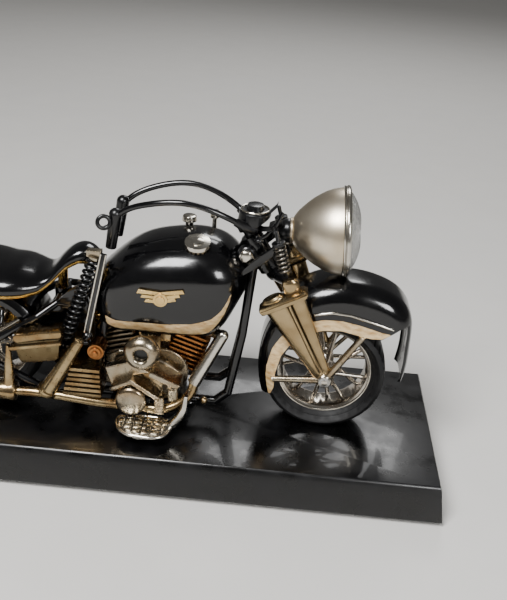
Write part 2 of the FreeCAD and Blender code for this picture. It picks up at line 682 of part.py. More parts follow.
def engine_parts():
    """Crankcase, cylinders, covers, hoods and carburettor."""
    frame = frame_shape()
    case = fuse([
        cross_disc(4.0, 36.6, -8.4, 8.4, 10.4),
        side_plate([(-19.5, 28.0), (-19.5, 41.0), (-14.0, 44.0), (4.0, 44.0), (4.0, 27.2)], -7.6, 7.6),
        cross_disc(4.0, 36.6, -8.4, 14.0, 6.0),
        cross_disc(4.0, 36.6, 13.0, 16.0, 7.2),
    ])
    front = cylinder(9.0, 34.0, 18.0, 5.4).cut(case)
    rear = cylinder(-10.5, 36.0, -16.0, 4.2).cut(case)
    casing = side_plate([
        (-15.6, 30.0), (-15.6, 41.0), (-7.0, 44.6), (5.0, 40.4), (11.6, 36.0), (11.6, 29.0), (4.0, 28.4), (-12.0, 28.4),
    ], -15.6, -8.4)
    plate = side_plate([
        (-17.4, 42.6), (-7.2, 46.4), (0.6, 42.0), (-6.4, 40.0), (-11.2, 35.0), (-13.8, 31.4),
    ], -19.4, -15.6)
    plate = plate.makeFillet(0.5, [edge for edge in plate.Edges if abs(edge.Vertexes[0].Y + 19.4) < 0.01
                                   and abs(edge.Vertexes[-1].Y + 19.4) < 0.01])
    case = fuse([case, casing]).cut(frame)
    timing = turned([
        (0.0, -15.6), (2.4, -15.6), (2.4, -21.6), (5.6, -21.6), (6.2, -22.2), (6.2, -24.0), (5.6, -24.6),
        (4.9, -24.6), (4.6, -24.2), (0.0, -24.2),
    ], -6.3, 30.6)
    rear_hood = fuse([
        side_plate([(-14.2, 36.4), (-6.3, 40.6), (5.0, 33.4), (4.0, 32.0), (-6.4, 38.6), (-13.6, 34.8)], -23.6, -15.6),
        box(3.2, 6.8, -23.2, -21.4, 25.6, 33.0),
    ])
    front_hood = fuse([
        side_plate([(0.2, 41.2), (0.9, 43.4), (12.8, 38.2), (11.6, 36.3)], -21.0, -11.4),
        box(7.6, 11.6, -18.6, -15.6, 28.8, 38.0),
        rod(vec(9.4, -19.2, 35.2), vec(9.4, -18.6, 35.2), 0.7),
    ])
    pipe = main_pipe()
    timing = timing.cut(pipe)
    rear_hood = rear_hood.cut(front_hood).cut(timing).cut(plate).cut(case).cut(pipe)
    front_hood = front_hood.cut(front).cut(case).cut(pipe)
    plate = plate.cut(timing).cut(rear_hood).cut(front_hood)
    air = turned([
        (0.0, -20.6), (0.0, -22.4), (2.6, -22.4), (2.6, -25.0), (3.5, -25.8), (5.4, -25.3), (6.8, -23.8),
        (7.2, -22.0), (6.4, -20.6),
    ], -2.2, 52.8)
    carb = fuse([
        rod(vec(-2.2, -20.6, 52.8), vec(-1.0, -9.0, 51.4), 2.3),
        box(-4.4, 3.4, -13.0, -5.2, 47.4, 55.4),
        box(-6.4, 6.4, -5.2, 5.2, 48.6, 52.0),
    ]).cut(front).cut(rear).cut(air)
    kick = fuse([
        cross_disc(-20.6, 49.8, -20.4, -13.0, 3.2),
        cross_disc(-20.6, 49.8, -21.2, -20.4, 2.2),
        cross_disc(-20.6, 49.8, -22.0, -21.2, 1.0),
        cross_disc(-20.6, 49.8, -13.0, -9.6, 1.8),
    ]).cut(frame)
    return {
        "crankcase": case,
        "front_cylinder": front,
        "rear_cylinder": main_solid(rear),
        "casing_arm": plate,
        "timing_cover": timing,
        "rear_hood": rear_hood,
        "front_hood": front_hood,
        "air_cleaner": air,
        "carburettor": carb,
        "kick_boss": kick,
    }


# ---- exhaust, tool box, footboards -----------------------------------------------------------
PIPE_RADIUS = 2.0
PIPE_Y = -22.0


def main_pipe():
    """Long exhaust pipe under the right side."""
    return swept([
        vec(-52.0, PIPE_Y, 29.6), vec(-34.0, PIPE_Y, 29.4), vec(-16.0, -21.0, 27.2), vec(-4.0, -19.4, 26.0),
        vec(7.0, -19.0, 26.0), vec(14.2, -17.4, 29.6), vec(17.6, -15.2, 37.0),
    ], PIPE_RADIUS)


def exhaust_parts():
    """Header, long pipe, silencer, stub pipes and cooler block on the right side."""
    frame = frame_shape()
    pipe = main_pipe()
    header = rod(vec(17.6, -15.2, 37.0), vec(27.6, -11.6, 57.6), 2.7, 2.4)
    header = fuse([header, rod(vec(27.6, -11.6, 57.6), vec(20.0, -5.0, 56.0), 2.2), ball(vec(27.6, -11.6, 57.6), 2.4)])
    header = header.cut(cylinder(9.0, 34.0, 18.0, 5.4)).cut(pipe).cut(frame)
    silencer = turned_x([
        (0.0, 0.0), (0.0, 3.7), (-1.0, 4.0), (-6.0, 4.0), (-8.0, 3.6), (-40.0, 4.6), (-46.0, 3.4), (-52.0, 2.6),
        (-52.0, 1.6), (-46.0, 1.6), (-46.0, 0.0),
    ], vec(-52.0, PIPE_Y, 29.6), -1.0)
    silencer = fuse([silencer, rod(vec(-54.8, PIPE_Y, 32.0), vec(-54.2, PIPE_Y, 50.4), 2.5, 0.9)])
    stub = fuse([
        rod(vec(-40.0, PIPE_Y, 30.4), vec(-26.2, PIPE_Y, 55.4), 3.6, 1.9),
        rod(vec(-39.7, PIPE_Y, 31.0), vec(-39.0, PIPE_Y, 32.3), 4.3),
    ]).cut(pipe)
    stub = stub.common(box(-60, 0, -40, 0, 28.6, 70))
    fins = []
    levels = 6
    for step in range(levels):
        z = 30.8 + step * 2.1
        grow = 1.3 * (levels - 1 - step) / (levels - 1)
        fins.append(box(-30.6 - 2.0 * grow, -18.8 + 0.6 * grow, -22.0 - grow, -12.6, z, z + 1.3))
    fins.append(box(-28.8, -20.0, -20.6, -12.8, 30.8, 42.4))
    fins.append(box(-26.0, -20.6, -12.8, -9.4, 34.0, 38.0))
    cooler = fuse(fins).cut(frame).cut(pipe)
    bracket = box(-47.0, -43.0, -18.4, -14.4, 54.6, 57.2)
    upper = side_plate([(-54.0, 50.2), (-53.6, 54.2), (-34.0, 59.2), (-33.8, 54.8)], -24.0, -18.0)
    lower = side_plate([(-53.4, 48.6), (-50.4, 42.6), (-35.4, 45.6), (-33.6, 53.4), (-33.8, 54.8), (-54.0, 50.2)],
                       -23.2, -18.4)
    lip = side_plate([(-53.6, 48.0), (-53.6, 49.2), (-33.4, 54.2), (-33.4, 53.0)], -23.8, -18.2)
    tool = fuse([upper, lower, lip, bracket]).cut(frame)
    return {
        "exhaust_pipe": pipe.cut(frame),
        "header_pipe": main_solid(header),
        "silencer": main_solid(silencer.cut(frame).cut(tool)),
        "rear_stub": stub,
        "cooler_block": main_solid(cooler),
        "tool_box": tool,
    }


def footboard():
    """Right footboard with tread bars, rim, toe guard and its bracket."""
    outline = [(-11.0, -27.0), (-11.0, -22.4), (-10.0, -21.4), (9.0, -21.4), (9.8, -24.0), (9.6, -30.4), (6.6, -33.9),
               (-1.4, -34.8), (-7.1, -33.0)]
    face = Part.Face(Part.makePolygon([vec(x, y, 21.4) for x, y in outline + [outline[0]]]))
    board = face.extrude(vec(0, 0, 1.2))
    inner = []
    centre_x = -0.6
    centre_y = -27.6
    for x, y in outline:
        inner.append(vec(centre_x + (x - centre_x) * 0.9, centre_y + (y - centre_y) * 0.86, 22.6))
    tread = Part.Face(Part.makePolygon(inner + [inner[0]])).extrude(vec(0, 0, 0.9))
    for step in range(5):
        x = -8.0 + step * 3.7
        tread = tread.cut(box(x, x + 0.5, -40, -20, 23.0, 24))
    for step in range(3):
        y = -24.6 - step * 3.2
        tread = tread.cut(box(-20, 20, y, y + 0.5, 23.0, 24))
    guard = side_plate([
        (8.6, 21.4), (12.0, 22.8), (14.6, 26.4), (16.2, 31.6), (16.6, 37.6), (15.4, 37.6), (14.6, 32.0), (12.6, 27.6),
        (10.4, 24.8), (8.6, 23.4),
    ], -27.0, -22.0)
    bracket = chain([vec(0, -21.6, 22.0), vec(0, -14.0, 22.0), vec(0, -RAIL_Y, 23.4)], 0.9)
    return fuse([board, tread, guard, bracket]).cut(frame_shape())


def footboard_parts():
    """Both footboards."""
    return {"footboards": pair(footboard())}


# ---- tank ------------------------------------------------------------------------------------
TANK_POWER = 2.3
TANK_LOW_POWER = 3.0
TUNNEL_HALF = 13.0
TUNNEL_TOP = 62.4
PIPE_CLEAR = 0.8
TANK_SECTIONS = (
    (-22.0, 69.0, 9.0, 5.0, 5.0), (-20.4, 70.5, 14.0, 9.4, 14.0), (-15.0, 73.0, 17.6, 12.0, 19.0),
    (-6.0, 76.2, 19.3, 15.2, 22.0), (6.0, 78.0, 20.0, 17.0, 23.7), (16.0, 78.6, 20.0, 17.4, 24.2),
    (24.0, 78.8, 19.0, 15.8, 22.6), (30.0, 79.4, 16.0, 11.4, 14.6), (33.6, 80.2, 11.0, 6.8, 7.6),
    (35.2, 80.6, 7.0, 3.8, 3.8),
)


def tank_section(x, z, half_y, top, drop, grow=0.0):
    """Closed tank section with a fuller, deeper lower half."""
    count = 28
    points = []
    for step in range(count):
        angle = 2 * math.pi * step / count
        cos_a = math.cos(angle)
        sin_a = math.sin(angle)
        power = TANK_POWER if sin_a >= 0 else TANK_LOW_POWER
        half_z = (top if sin_a >= 0 else drop) + grow
        across = math.copysign(abs(cos_a) ** (2 / power), cos_a) * (half_y + grow)
        points.append(vec(x, across, z + math.copysign(abs(sin_a) ** (2 / power), sin_a) * half_z))
    curve = Part.BSplineCurve()
    curve.interpolate(points, PeriodicFlag=True)
    return Part.Wire([curve.toShape()])


def tank_parts():
    """Tank, plain badges, filler cap and far-side knobs."""
    frame = frame_shape()
    whole = lofted([tank_section(*section) for section in TANK_SECTIONS])
    skin = lofted([tank_section(*section, FIT_GAP) for section in TANK_SECTIONS])
    tunnel = fuse([
        box(-30, 40, -3.2, 3.2, 45, 70),
        box(-30, 40, -TUNNEL_HALF, TUNNEL_HALF, 45, TUNNEL_TOP),
    ])
    pipe_space = fuse([
        rod(vec(17.6, -15.2, 37.0), vec(27.6, -11.6, 57.6), 2.7 + PIPE_CLEAR),
        ball(vec(27.6, -11.6, 57.6), 2.4 + PIPE_CLEAR),
    ])
    tank = main_solid(whole.cut(tunnel).cut(pipe_space).cut(frame))
    disc = cross_disc(4.2, 75.6, -21.4, -17.0, 2.7)
    boss = cross_disc(4.2, 75.6, -21.8, -21.4, 1.6)
    bars = [disc, boss]
    for row in range(3):
        reach = 8.9 - row * 1.5
        z = 77.4 - row * 1.7
        bars.append(side_plate([(4.2, z), (4.2 + reach, z + 1.6), (4.2 + reach - 0.6, z + 2.9), (4.2, z + 1.2)], -21.1, -17))
        bars.append(side_plate([(4.2, z), (4.2 - reach, z + 0.2), (4.2 - reach + 0.6, z + 1.5), (4.2, z + 1.2)], -21.1, -17))
    badge = fuse(bars).cut(skin)
    tilt = math.radians(15)
    lean = vec(0, -math.sin(tilt), math.cos(tilt))
    base = vec(16.0, -9.0, 91.4)
    cap = fuse([
        rod(base, base + lean * 3.2, 4.5),
        rod(base + lean * 3.2, base + lean * 4.6, 5.1, 4.8),
    ])
    teeth = []
    for step in range(18):
        tooth = Part.makeBox(0.7, 0.8, 3.0, vec(4.3, -0.4, 0.0))
        tooth.rotate(ORIGIN, Z_AXIS, 20 * step)
        tooth.rotate(ORIGIN, X_AXIS, 15)
        tooth.translate(base)
        teeth.append(tooth)
    cap = main_solid(fuse([cap] + teeth).cut(whole))
    knobs = [
        fuse([rod(vec(10.6, 8.0, 92.0), vec(10.6, 8.0, 96.6), 1.6), rod(vec(10.6, 8.0, 96.6), vec(10.6, 8.0, 98.8), 3.0, 2.6)]),
        fuse([rod(vec(20.4, 8.0, 92.0), vec(20.4, 8.0, 98.8), 0.9), rod(vec(20.4, 8.0, 98.8), vec(20.4, 8.0, 101.8), 1.8, 1.6)]),
    ]
    knobs = group([knob.cut(skin) for knob in knobs])
    return {
        "tank": tank,
        "tank_badges": pair(badge),
        "filler_cap": cap,
        "tank_knobs": knobs,
    }


# ---- saddle ----------------------------------------------------------------------------------
SADDLE_SECTIONS = (
    (-23.2, 81.6, 3.0, 2.0), (-25.6, 81.8, 5.2, 3.8), (-30.0, 82.2, 6.4, 4.2), (-35.0, 79.4, 7.6, 4.4),
    (-39.5, 74.4, 9.4, 4.4), (-44.5, 70.6, 12.4, 4.8), (-50.0, 70.0, 15.6, 6.2), (-57.0, 70.0, 17.6, 7.2),
    (-65.0, 70.8, 18.0, 7.4), (-72.0, 72.4, 15.8, 6.4), (-77.0, 74.0, 11.0, 4.0), (-79.4, 74.8, 6.0, 1.8),
)
STRUT_FOOT = vec(-34.2, -14.0, 50.2)
SADDLE_TRAVEL = 3.0
SEAM_DROP = 0.15
RIM_THICK = 1.2
STRUT_HEAD = vec(-21.6, -14.0, 87.2)


def saddle_parts():
    """Sprung saddle, its pan and post, and the coil strut beside it."""
    frame = frame_shape()
    clear = cross_disc(REAR_X, AXLE_Z, -13.2, 13.2, REAR_FENDER_RADIUS + 0.5).fuse(
        box(REAR_X - 24.0, REAR_X + 24.0, -13.2, 13.2, AXLE_Z, AXLE_Z + 20.0))
    clear = clear.fuse(cross_disc(REAR_X, AXLE_Z + SADDLE_TRAVEL, -13.2, 13.2, REAR_FENDER_RADIUS + 0.5))
    seam = [(x, z - SEAM_DROP * half_z) for x, z, half_y, half_z in SADDLE_SECTIONS]
    rim = [(x, z - RIM_THICK) for x, z in seam]
    whole = lofted([squircle(x, 0, z, half_y, half_z, 2.2) for x, z, half_y, half_z in SADDLE_SECTIONS])
    proud = lofted([
        squircle(x, 0, z - RIM_THICK / 2, half_y + 0.3, half_z + 0.3, 2.2) for x, z, half_y, half_z in SADDLE_SECTIONS
    ])
    under = side_plate(seam + [(seam[-1][0], 40.0), (seam[0][0], 40.0)], -30, 30)
    saddle = main_solid(whole.cut(under).cut(clear))
    post = rod(vec(SEAT_POST_X, 0, 63.4), vec(SEAT_POST_X, 0, 75.0), SEAT_POST_RADIUS)
    pan = proud.common(side_plate(seam + rim[::-1], -30, 30)).cut(clear)
    pan = main_solid(fuse([pan, post]).cut(saddle))
    line = STRUT_HEAD - STRUT_FOOT
    unit = line * (1 / line.Length)
    spring = coil(STRUT_FOOT + unit * 0.8, STRUT_HEAD - unit * 0.8, 2.5, 0.55, 15)
    plate = fuse([
        rod(STRUT_HEAD, STRUT_HEAD + unit * 1.0, 3.0),
        box(-24.6, -19.2, -15.6, -12.4, 88.0, 90.4),
        chain([vec(-23.4, -12.8, 89.0), vec(-25.6, -7.0, 86.4), vec(-28.0, -3.0, 83.6)], 1.0),
    ]).cut(saddle).cut(pan)
    foot = fuse([
        rod(STRUT_FOOT - unit * 2.2, STRUT_FOOT, 3.3),
        rod(STRUT_FOOT - unit * 1.6, vec(-25.4, -11.0, 48.0), 1.1),
        rod(vec(-24.8, -16.0, 54.2), vec(-25.0, -11.4, 48.4), 0.8),
        ball(vec(-24.8, -16.0, 54.2), 2.0),
    ]).cut(frame)
    low = vec(-24.6, -16.7, 55.0)
    high = vec(-17.6, -17.5, 90.6)
    bar = Part.makeBox(2.3, 0.9, (high - low).Length, vec(-1.15, -0.45, 0))
    bar.Placement = FreeCAD.Placement(low, FreeCAD.Rotation(Z_AXIS, high - low))
    foot = fuse([foot, bar])
    return {
        "saddle": saddle,
        "saddle_pan": pan,
        "strut_spring": spring,
        "strut_head": plate,
        "strut_foot": foot,
    }


# ---- rear fender -----------------------------------------------------------------------------
REAR_FENDER_RADIUS = 26.9
REAR_FENDER_HALF = 12.3


def rear_parts():
    """Rear fender with its braces, and the tail lamp."""
    outer = REAR_FENDER_RADIUS
    half = REAR_FENDER_HALF
    skin = FENDER_SKIN
    profile = [
        (21.5, -half), (outer - 3.4, -half), (outer - 1.0, -half + 1.4), (outer, -half + 4.4), (outer, half - 4.4),
        (outer - 1.0, half - 1.4), (outer - 3.4, half), (21.5, half), (21.5, half - skin),
        (outer - 3.4, half - skin), (outer - skin - 0.8, half - 2.2), (outer - skin, half - 4.6),
        (outer - skin, -half + 4.6), (outer - skin - 0.8, -half + 2.2), (outer - 3.4, -half + skin), (21.5, -half + skin),
    ]
    ring = turned(profile, REAR_X, AXLE_Z)
    keep = side_plate([
        (REAR_X, AXLE_Z), (REAR_X + 40, AXLE_Z + 9), (REAR_X + 40, AXLE_Z + 60), (REAR_X - 60, AXLE_Z + 60),
        (REAR_X - 60, AXLE_Z - 8),
    ], -30, 30)
    fender = ring.common(keep)
    arm = rod(vec(REAR_X - 1.5, REAR_STAY_Y, AXLE_Z + 3.0), vec(REAR_X - 11.0, half - 0.5, AXLE_Z + 20.8), 0.9)
    brace = rod(vec(REAR_X + 10.0, REAR_STAY_Y - 1.4, 55.2), vec(REAR_X + 10.0, half - 0.5, 61.0), 0.9)
    added = [arm, brace, mirrored(arm), mirrored(brace)]
    inside = turned([(0, -half + 0.2), (outer - 3.0, -half + 0.2), (outer - 3.0, half - 0.2), (0, half - 0.2)], REAR_X, AXLE_Z)
    added = [piece.cut(inside) for piece in added]
    fender = main_solid(fuse([fender] + added).cut(frame_shape()))
    place = vec(-92.4, 0, 54.0)
    lamp = turned_x([(0.0, 0.0), (0.0, 2.4), (-2.4, 3.4), (-5.0, 3.4), (-5.0, 0.0)], place, 0)
    lens = turned_x([(-5.0, 0.0), (-5.0, 3.0), (-6.4, 2.4), (-7.2, 0.0)], place, 0)
    return {
        "rear_fender": fender,
        "tail_lamp": main_solid(lamp.cut(fender)),
        "tail_lens": lens,
    }


# ---- clockwork -------------------------------------------------------------------------------
GREAT_Y = 3.2


def winder_centre():
    """Side-view place of the winding arbor above the drive arbor."""
    reach = TRAIN_MODULE * (PINION_TEETH + GREAT_TEETH) / 2 + MESH_GAP
    lean = math.radians(WINDER_LEAN_DEG)
    return DRIVE_X + reach * math.cos(lean), AXLE_Z + reach * math.sin(lean)


def spiral_strip(x, z, inner, outer, turns, y0, y1):
    """Coiled flat spring as one closed strip."""
    steps = 20 * turns
    inside = []
    outside = []
    for step in range(steps + 1):
        part = step / steps
        angle = 2 * math.pi * turns * part
        radius = inner + (outer - inner) * part
        inside.append((x + radius * math.cos(angle), z + radius * math.sin(angle)))
        outside.append((x + (radius + 0.35) * math.cos(angle), z + (radius + 0.35) * math.sin(angle)))
    return side_plate(inside + outside[::-1], y0, y1)


def clockwork_parts():
    """Plates, mainspring, gear train, arbors, click and key."""
    wx, wz = winder_centre()
    outline = [
        (wx - 10.0, 61.4), (wx + 9.0, 61.8), (wx + 9.2, 50.0), (wx + 7.0, 35.0), (wx + 4.6, 33.0), (-28.6, 32.0),
        (-28.6, 26.0), (-35.4, 26.0), (-35.4, 33.0), (wx - 7.6, 35.0), (wx - 9.0, 48.0),
    ]
    plates = [
        side_plate(outline, -PLATE_Y - PLATE_THICK, -PLATE_Y),
        side_plate(outline, PLATE_Y, PLATE_Y + PLATE_THICK),
    ]
    for dx, z in ((-8.6, 59.6), (8.4, 60.2), (-6.4, 36.4), (6.2, 36.4)):
        plates.append(cross_disc(wx + dx, z, -PLATE_Y - 0.2, PLATE_Y + 0.2, 1.0))
    cover = side_spline([
        (-45.0, 57.4), (-45.2, 60.0), (-42.4, 62.4), (-38.4, 65.0), (-34.2, 69.0), (-29.6, 71.6), (-26.2, 67.0),
        (-25.8, 57.6), (-35.0, 56.8),
    ], -COVER_Y - 3.6, -COVER_Y)
    cover = cover.cut(frame_shape()).cut(cross_disc(REAR_X, AXLE_Z, -20, 20, REAR_FENDER_RADIUS + BODY_GAP))
    cover = fuse([main_solid(cover), cross_disc(-31.0, 60.0, -COVER_Y - 0.2, -PLATE_Y, 1.2)])
    case = fuse(plates + [cover])
    case = case.cut(cross_disc(wx, wz, -9, 9, ARBOR_RADIUS + RUNNING_FIT))
    case = case.cut(cross_disc(DRIVE_X, AXLE_Z, -9, 9, ARBOR_RADIUS + RUNNING_FIT))
    pinion_phase = WINDER_LEAN_DEG
    great_phase = WINDER_LEAN_DEG + 180 + 180 / GREAT_TEETH
    great = gear(wx, wz, GREAT_Y, GREAT_TEETH, TRAIN_MODULE, ARBOR_RADIUS + RUNNING_FIT, great_phase)
    anchor = cross_disc(wx + 6.9, wz, -4.6, GREAT_Y, 0.6)
    click = fuse([
        cross_disc(wx + 6.0, wz + 2.4, GREAT_Y + GEAR_THICK, GREAT_Y + GEAR_THICK + 0.9, 0.8),
        side_plate([(wx + 6.2, wz + 1.8), (wx + 6.0, wz + 2.8), (wx + 4.0, wz + 0.9), (wx + 4.1, wz + 0.4)],
                   GREAT_Y + GEAR_THICK, GREAT_Y + GEAR_THICK + 0.8),
    ])
    great = fuse([great, anchor, click])
    strip = spiral_strip(wx, wz, ARBOR_RADIUS + 0.5, 5.6, 5, -4.4, 2.4)
    hook = side_plate([(wx + 5.6, wz - 0.3), (wx + 7.0, wz - 0.3), (wx + 7.0, wz + 0.35), (wx + 5.6, wz + 0.35)], -4.4, 2.4)
    spring = fuse([strip, hook]).cut(anchor)
    drive = fuse([
        cross_disc(DRIVE_X, AXLE_Z, -PLATE_Y - 1.6, GEAR_Y + GEAR_THICK + 0.6, ARBOR_RADIUS),
        gear(DRIVE_X, AXLE_Z, GREAT_Y, PINION_TEETH, TRAIN_MODULE, ARBOR_RADIUS - 0.2, pinion_phase),
        gear(DRIVE_X, AXLE_Z, GEAR_Y, DRIVE_TEETH, GEAR_MODULE, ARBOR_RADIUS - 0.2, 0.0),
    ])
    idler = gear(IDLER_X, AXLE_Z, GEAR_Y, IDLER_TEETH, GEAR_MODULE, ARBOR_RADIUS + RUNNING_FIT, 180 / IDLER_TEETH)
    rear_gear = gear(REAR_X, AXLE_Z, GEAR_Y, GEAR_TEETH, GEAR_MODULE, HUB_RADIUS - 0.7, 0.0)
    ratchet = [cross_disc(wx, wz, GREAT_Y + GEAR_THICK + 0.2, GREAT_Y + GEAR_THICK + 0.8, 2.8)]
    for step in range(12):
        angle = math.radians(30 * step)
        points = []
        for radius, turn in ((2.5, -0.30), (3.6, 0.0), (2.5, 0.12)):
            points.append((wx + radius * math.cos(angle + turn), wz + radius * math.sin(angle + turn)))
        ratchet.append(side_plate(points, GREAT_Y + GEAR_THICK + 0.2, GREAT_Y + GEAR_THICK + 0.8))
    arbor = fuse([cross_disc(wx, wz, -PLATE_Y - 1.6, 24.0, ARBOR_RADIUS)] + ratchet)
    sleeve = cross_disc(wx, wz, 19.6, 26.0, 2.6)
    bow = []
    for side in (-1, 1):
        wing = Part.makeCylinder(5.2, 1.4, vec(wx - 0.7, 30.2, wz + side * 5.4), X_AXIS)
        hole = Part.makeCylinder(2.4, 3.0, vec(wx - 1.5, 30.6, wz + side * 6.0), X_AXIS)
        bow.append(wing.cut(hole))
    web = box(wx - 0.7, wx + 0.7, 24.6, 31.0, wz - 2.4, wz + 2.4)
    key = fuse(bow + [web, sleeve]).cut(arbor)
    return {
        "clock_plates": case,
        "great_wheel": great,
        "mainspring": spring,
        "drive_arbor": drive,
        "idler_gear": idler,
        "rear_gear": rear_gear,
        "winding_arbor": arbor,
        "winding_key": key,
    }


NODES = {}
MAKERS = (
    plinth_parts, frame_parts, wheel_parts, fork_parts, fender_parts, lamp_parts, bar_parts, engine_parts,
    exhaust_parts, footboard_parts, tank_parts, saddle_parts, rear_parts, clockwork_parts,
)
for maker in MAKERS:
    NODES.update(maker())

os.makedirs("parts", exist_ok=True)
for name, shape in NODES.items():
    shape.exportStep("parts/" + name + ".step")
    print(name, len(shape.Solids), "solids", "valid" if shape.isValid() else "NOT VALID", round(shape.Volume, 1), "mm3")
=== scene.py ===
"""Looks of a wind-up model motorcycle on a lacquered plinth.

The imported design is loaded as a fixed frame: +X runs to the front wheel, +Y to the machine's left side,
+Z up. Sizes are millimetres, and `mm` turns them to the frame's metres.
"""

import logging
import math
from collections.abc import Callable, Sequence
from dataclasses import dataclass
from enum import Enum

import bpy
from mathutils import Matrix, Vector


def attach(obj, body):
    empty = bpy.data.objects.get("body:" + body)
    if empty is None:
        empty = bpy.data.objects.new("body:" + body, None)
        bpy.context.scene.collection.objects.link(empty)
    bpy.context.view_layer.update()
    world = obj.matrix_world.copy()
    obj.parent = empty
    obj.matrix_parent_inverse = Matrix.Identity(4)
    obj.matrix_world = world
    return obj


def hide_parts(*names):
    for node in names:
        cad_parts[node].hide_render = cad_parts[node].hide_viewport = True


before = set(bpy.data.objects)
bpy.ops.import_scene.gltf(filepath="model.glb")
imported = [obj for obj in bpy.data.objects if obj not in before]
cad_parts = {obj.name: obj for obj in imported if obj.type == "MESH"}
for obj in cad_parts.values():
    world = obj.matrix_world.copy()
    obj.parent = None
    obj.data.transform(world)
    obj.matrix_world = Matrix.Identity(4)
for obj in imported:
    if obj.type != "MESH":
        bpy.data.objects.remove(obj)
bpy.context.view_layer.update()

LOG = logging.getLogger("toy_motorcycle")
MM = 0.001
MERGE = 2e-6
FLAT_DEG = 2.0
CRISP_DEG = 35.0
EASED_DEG = 40.0
SOFT_DEG = 60.0
STRIPE_LIFT_MM = 0.03
ACROSS = Vector((0.0, 1.0, 0.0))
UP = Vector((0.0, 0.0, 1.0))

AXLE_Z = 42.5
FRONT_X = 69.0
REAR_X = -69.0
RAKE = math.radians(32.0)

Place = Sequence[float]
Outline = Sequence[tuple[float, float]]


class Body(Enum):
    """Moving bodies that the pieces ride on."""

    BASE = "base"
    STEERING = "steering"
    FRONT_ROLLER = "front_roller"
    REAR_ROLLER = "rear_roller"
    IDLER = "idler"
    DRIVE = "drive"
    GREAT = "great"
    WINDER = "winder"
    SEAT = "sprung_seat"


def mm(x: float, y: float, z: float) -> Vector:
    """Return a place given in millimetres as metres."""
    return Vector((x, y, z)) * MM


def fork_place(along: float, forward: float, y: float) -> Vector:
    """Return a place given along the steering axis from the front axle.

    Args:
        along: distance up the raked axis.
        forward: distance ahead of it.
        y: distance across the machine.

    Returns:
        The place in millimetres in the frame.
    """
    x = FRONT_X - along * math.sin(RAKE) + forward * math.cos(RAKE)
    z = AXLE_Z + along * math.cos(RAKE) + forward * math.sin(RAKE)
    return Vector((x, y, z))


# ---- finishes --------------------------------------------------------------------------------
def linear(hex_colour: str) -> tuple[float, float, float, float]:
    """Turn an sRGB hex colour such as '#c8b48c' to linear light with full alpha."""
    parts = [int(hex_colour[i:i + 2], 16) / 255.0 for i in (1, 3, 5)]
    light = [p / 12.92 if p <= 0.04045 else ((p + 0.055) / 1.055) ** 2.4 for p in parts]
    return (light[0], light[1], light[2], 1.0)


def per_mm(size_mm: float) -> float:
    """Return the texture scale, in cells a metre, of a pattern whose cell has this size."""
    return 1.0 / (size_mm * MM)


def add_node(tree: bpy.types.NodeTree, kind: str, settings: dict | None = None,
             links: dict | None = None) -> bpy.types.Node:
    """Add one shader node.

    Args:
        tree: the material's node tree.
        kind: the node's type name.
        settings: node attributes in lower case, or values for sockets by name or number.
        links: output sockets to join, by the name or number of this node's input.

    Returns:
        The new node.
    """
    node = tree.nodes.new(kind)
    for key, value in (settings or {}).items():
        if isinstance(key, str) and key[0].islower():
            setattr(node, key, value)
        else:
            node.inputs[key].default_value = value
    for key, source in (links or {}).items():
        tree.links.new(source, node.inputs[key])
    return node


def object_place(tree: bpy.types.NodeTree) -> bpy.types.NodeSocket:
    """Return the Object coordinates of a piece."""
    return add_node(tree, "ShaderNodeTexCoord").outputs["Object"]


def noise(tree: bpy.types.NodeTree, size_mm: float, detail: float = 3.0,
          stretch: tuple[float, float, float] | None = None) -> bpy.types.NodeSocket:
    """Add a noise pattern on Object coordinates.

    Args:
        tree: the material's node tree.
        size_mm: size of one blot.
        detail: number of finer octaves.
        stretch: scale along each axis, for brushed or drawn marks.

    Returns:
        The pattern's value socket.
    """
    place = object_place(tree)
    if stretch:
        place = add_node(tree, "ShaderNodeMapping", {"Scale": stretch}, {"Vector": place}).outputs["Vector"]
    settings = {"Scale": per_mm(size_mm), "Detail": detail, "Roughness": 0.6}
    return add_node(tree, "ShaderNodeTexNoise", settings, {"Vector": place}).outputs["Fac"]


def spread(tree: bpy.types.NodeTree, value: bpy.types.NodeSocket, low: float, high: float,
           to_low: float, to_high: float) -> bpy.types.NodeSocket:
    """Map a value's span low..high to to_low..to_high, held at the ends."""
    settings = {"From Min": low, "From Max": high, "To Min": to_low, "To Max": to_high}
    return add_node(tree, "ShaderNodeMapRange", settings, {"Value": value}).outputs["Result"]


def blended(tree: bpy.types.NodeTree, share: bpy.types.NodeSocket, first: object,
            second: object) -> bpy.types.NodeSocket:
    """Mix two colours, each a hex string or a socket, by a share."""
    settings = {"data_type": "RGBA"}
    links = {0: share}
    for socket, colour in ((6, first), (7, second)):
        if isinstance(colour, str):
            settings[socket] = linear(colour)
        else:
            links[socket] = colour
    return add_node(tree, "ShaderNodeMix", settings, links).outputs[2]


def relief(tree: bpy.types.NodeTree, height: bpy.types.NodeSocket, depth_mm: float) -> bpy.types.NodeSocket:
    """Turn a height pattern into a bumped normal of this depth."""
    return add_node(tree, "ShaderNodeBump", {"Strength": 1.0, "Distance": depth_mm * MM},
                    {"Height": height}).outputs["Normal"]


@dataclass(frozen=True)
class Finish:
    """A surface finish made as one node material.

    Args:
        name: what the surface is and how it was made.
        slot: the record's material slot that it belongs to; not used.
    """

    name: str
    slot: str

    def material(self) -> bpy.types.Material:
        """Return this finish's material, made on first use."""
        found = bpy.data.materials.get(self.name)
        if found:
            return found
        made = bpy.data.materials.new(self.name)
        made.use_nodes = True
        tree = made.node_tree
        self.paint(tree, tree.nodes["Principled BSDF"])
        return made

    def paint(self, tree: bpy.types.NodeTree, shader: bpy.types.Node) -> None:
        """Add this finish's nodes to the shader."""
        raise NotImplementedError


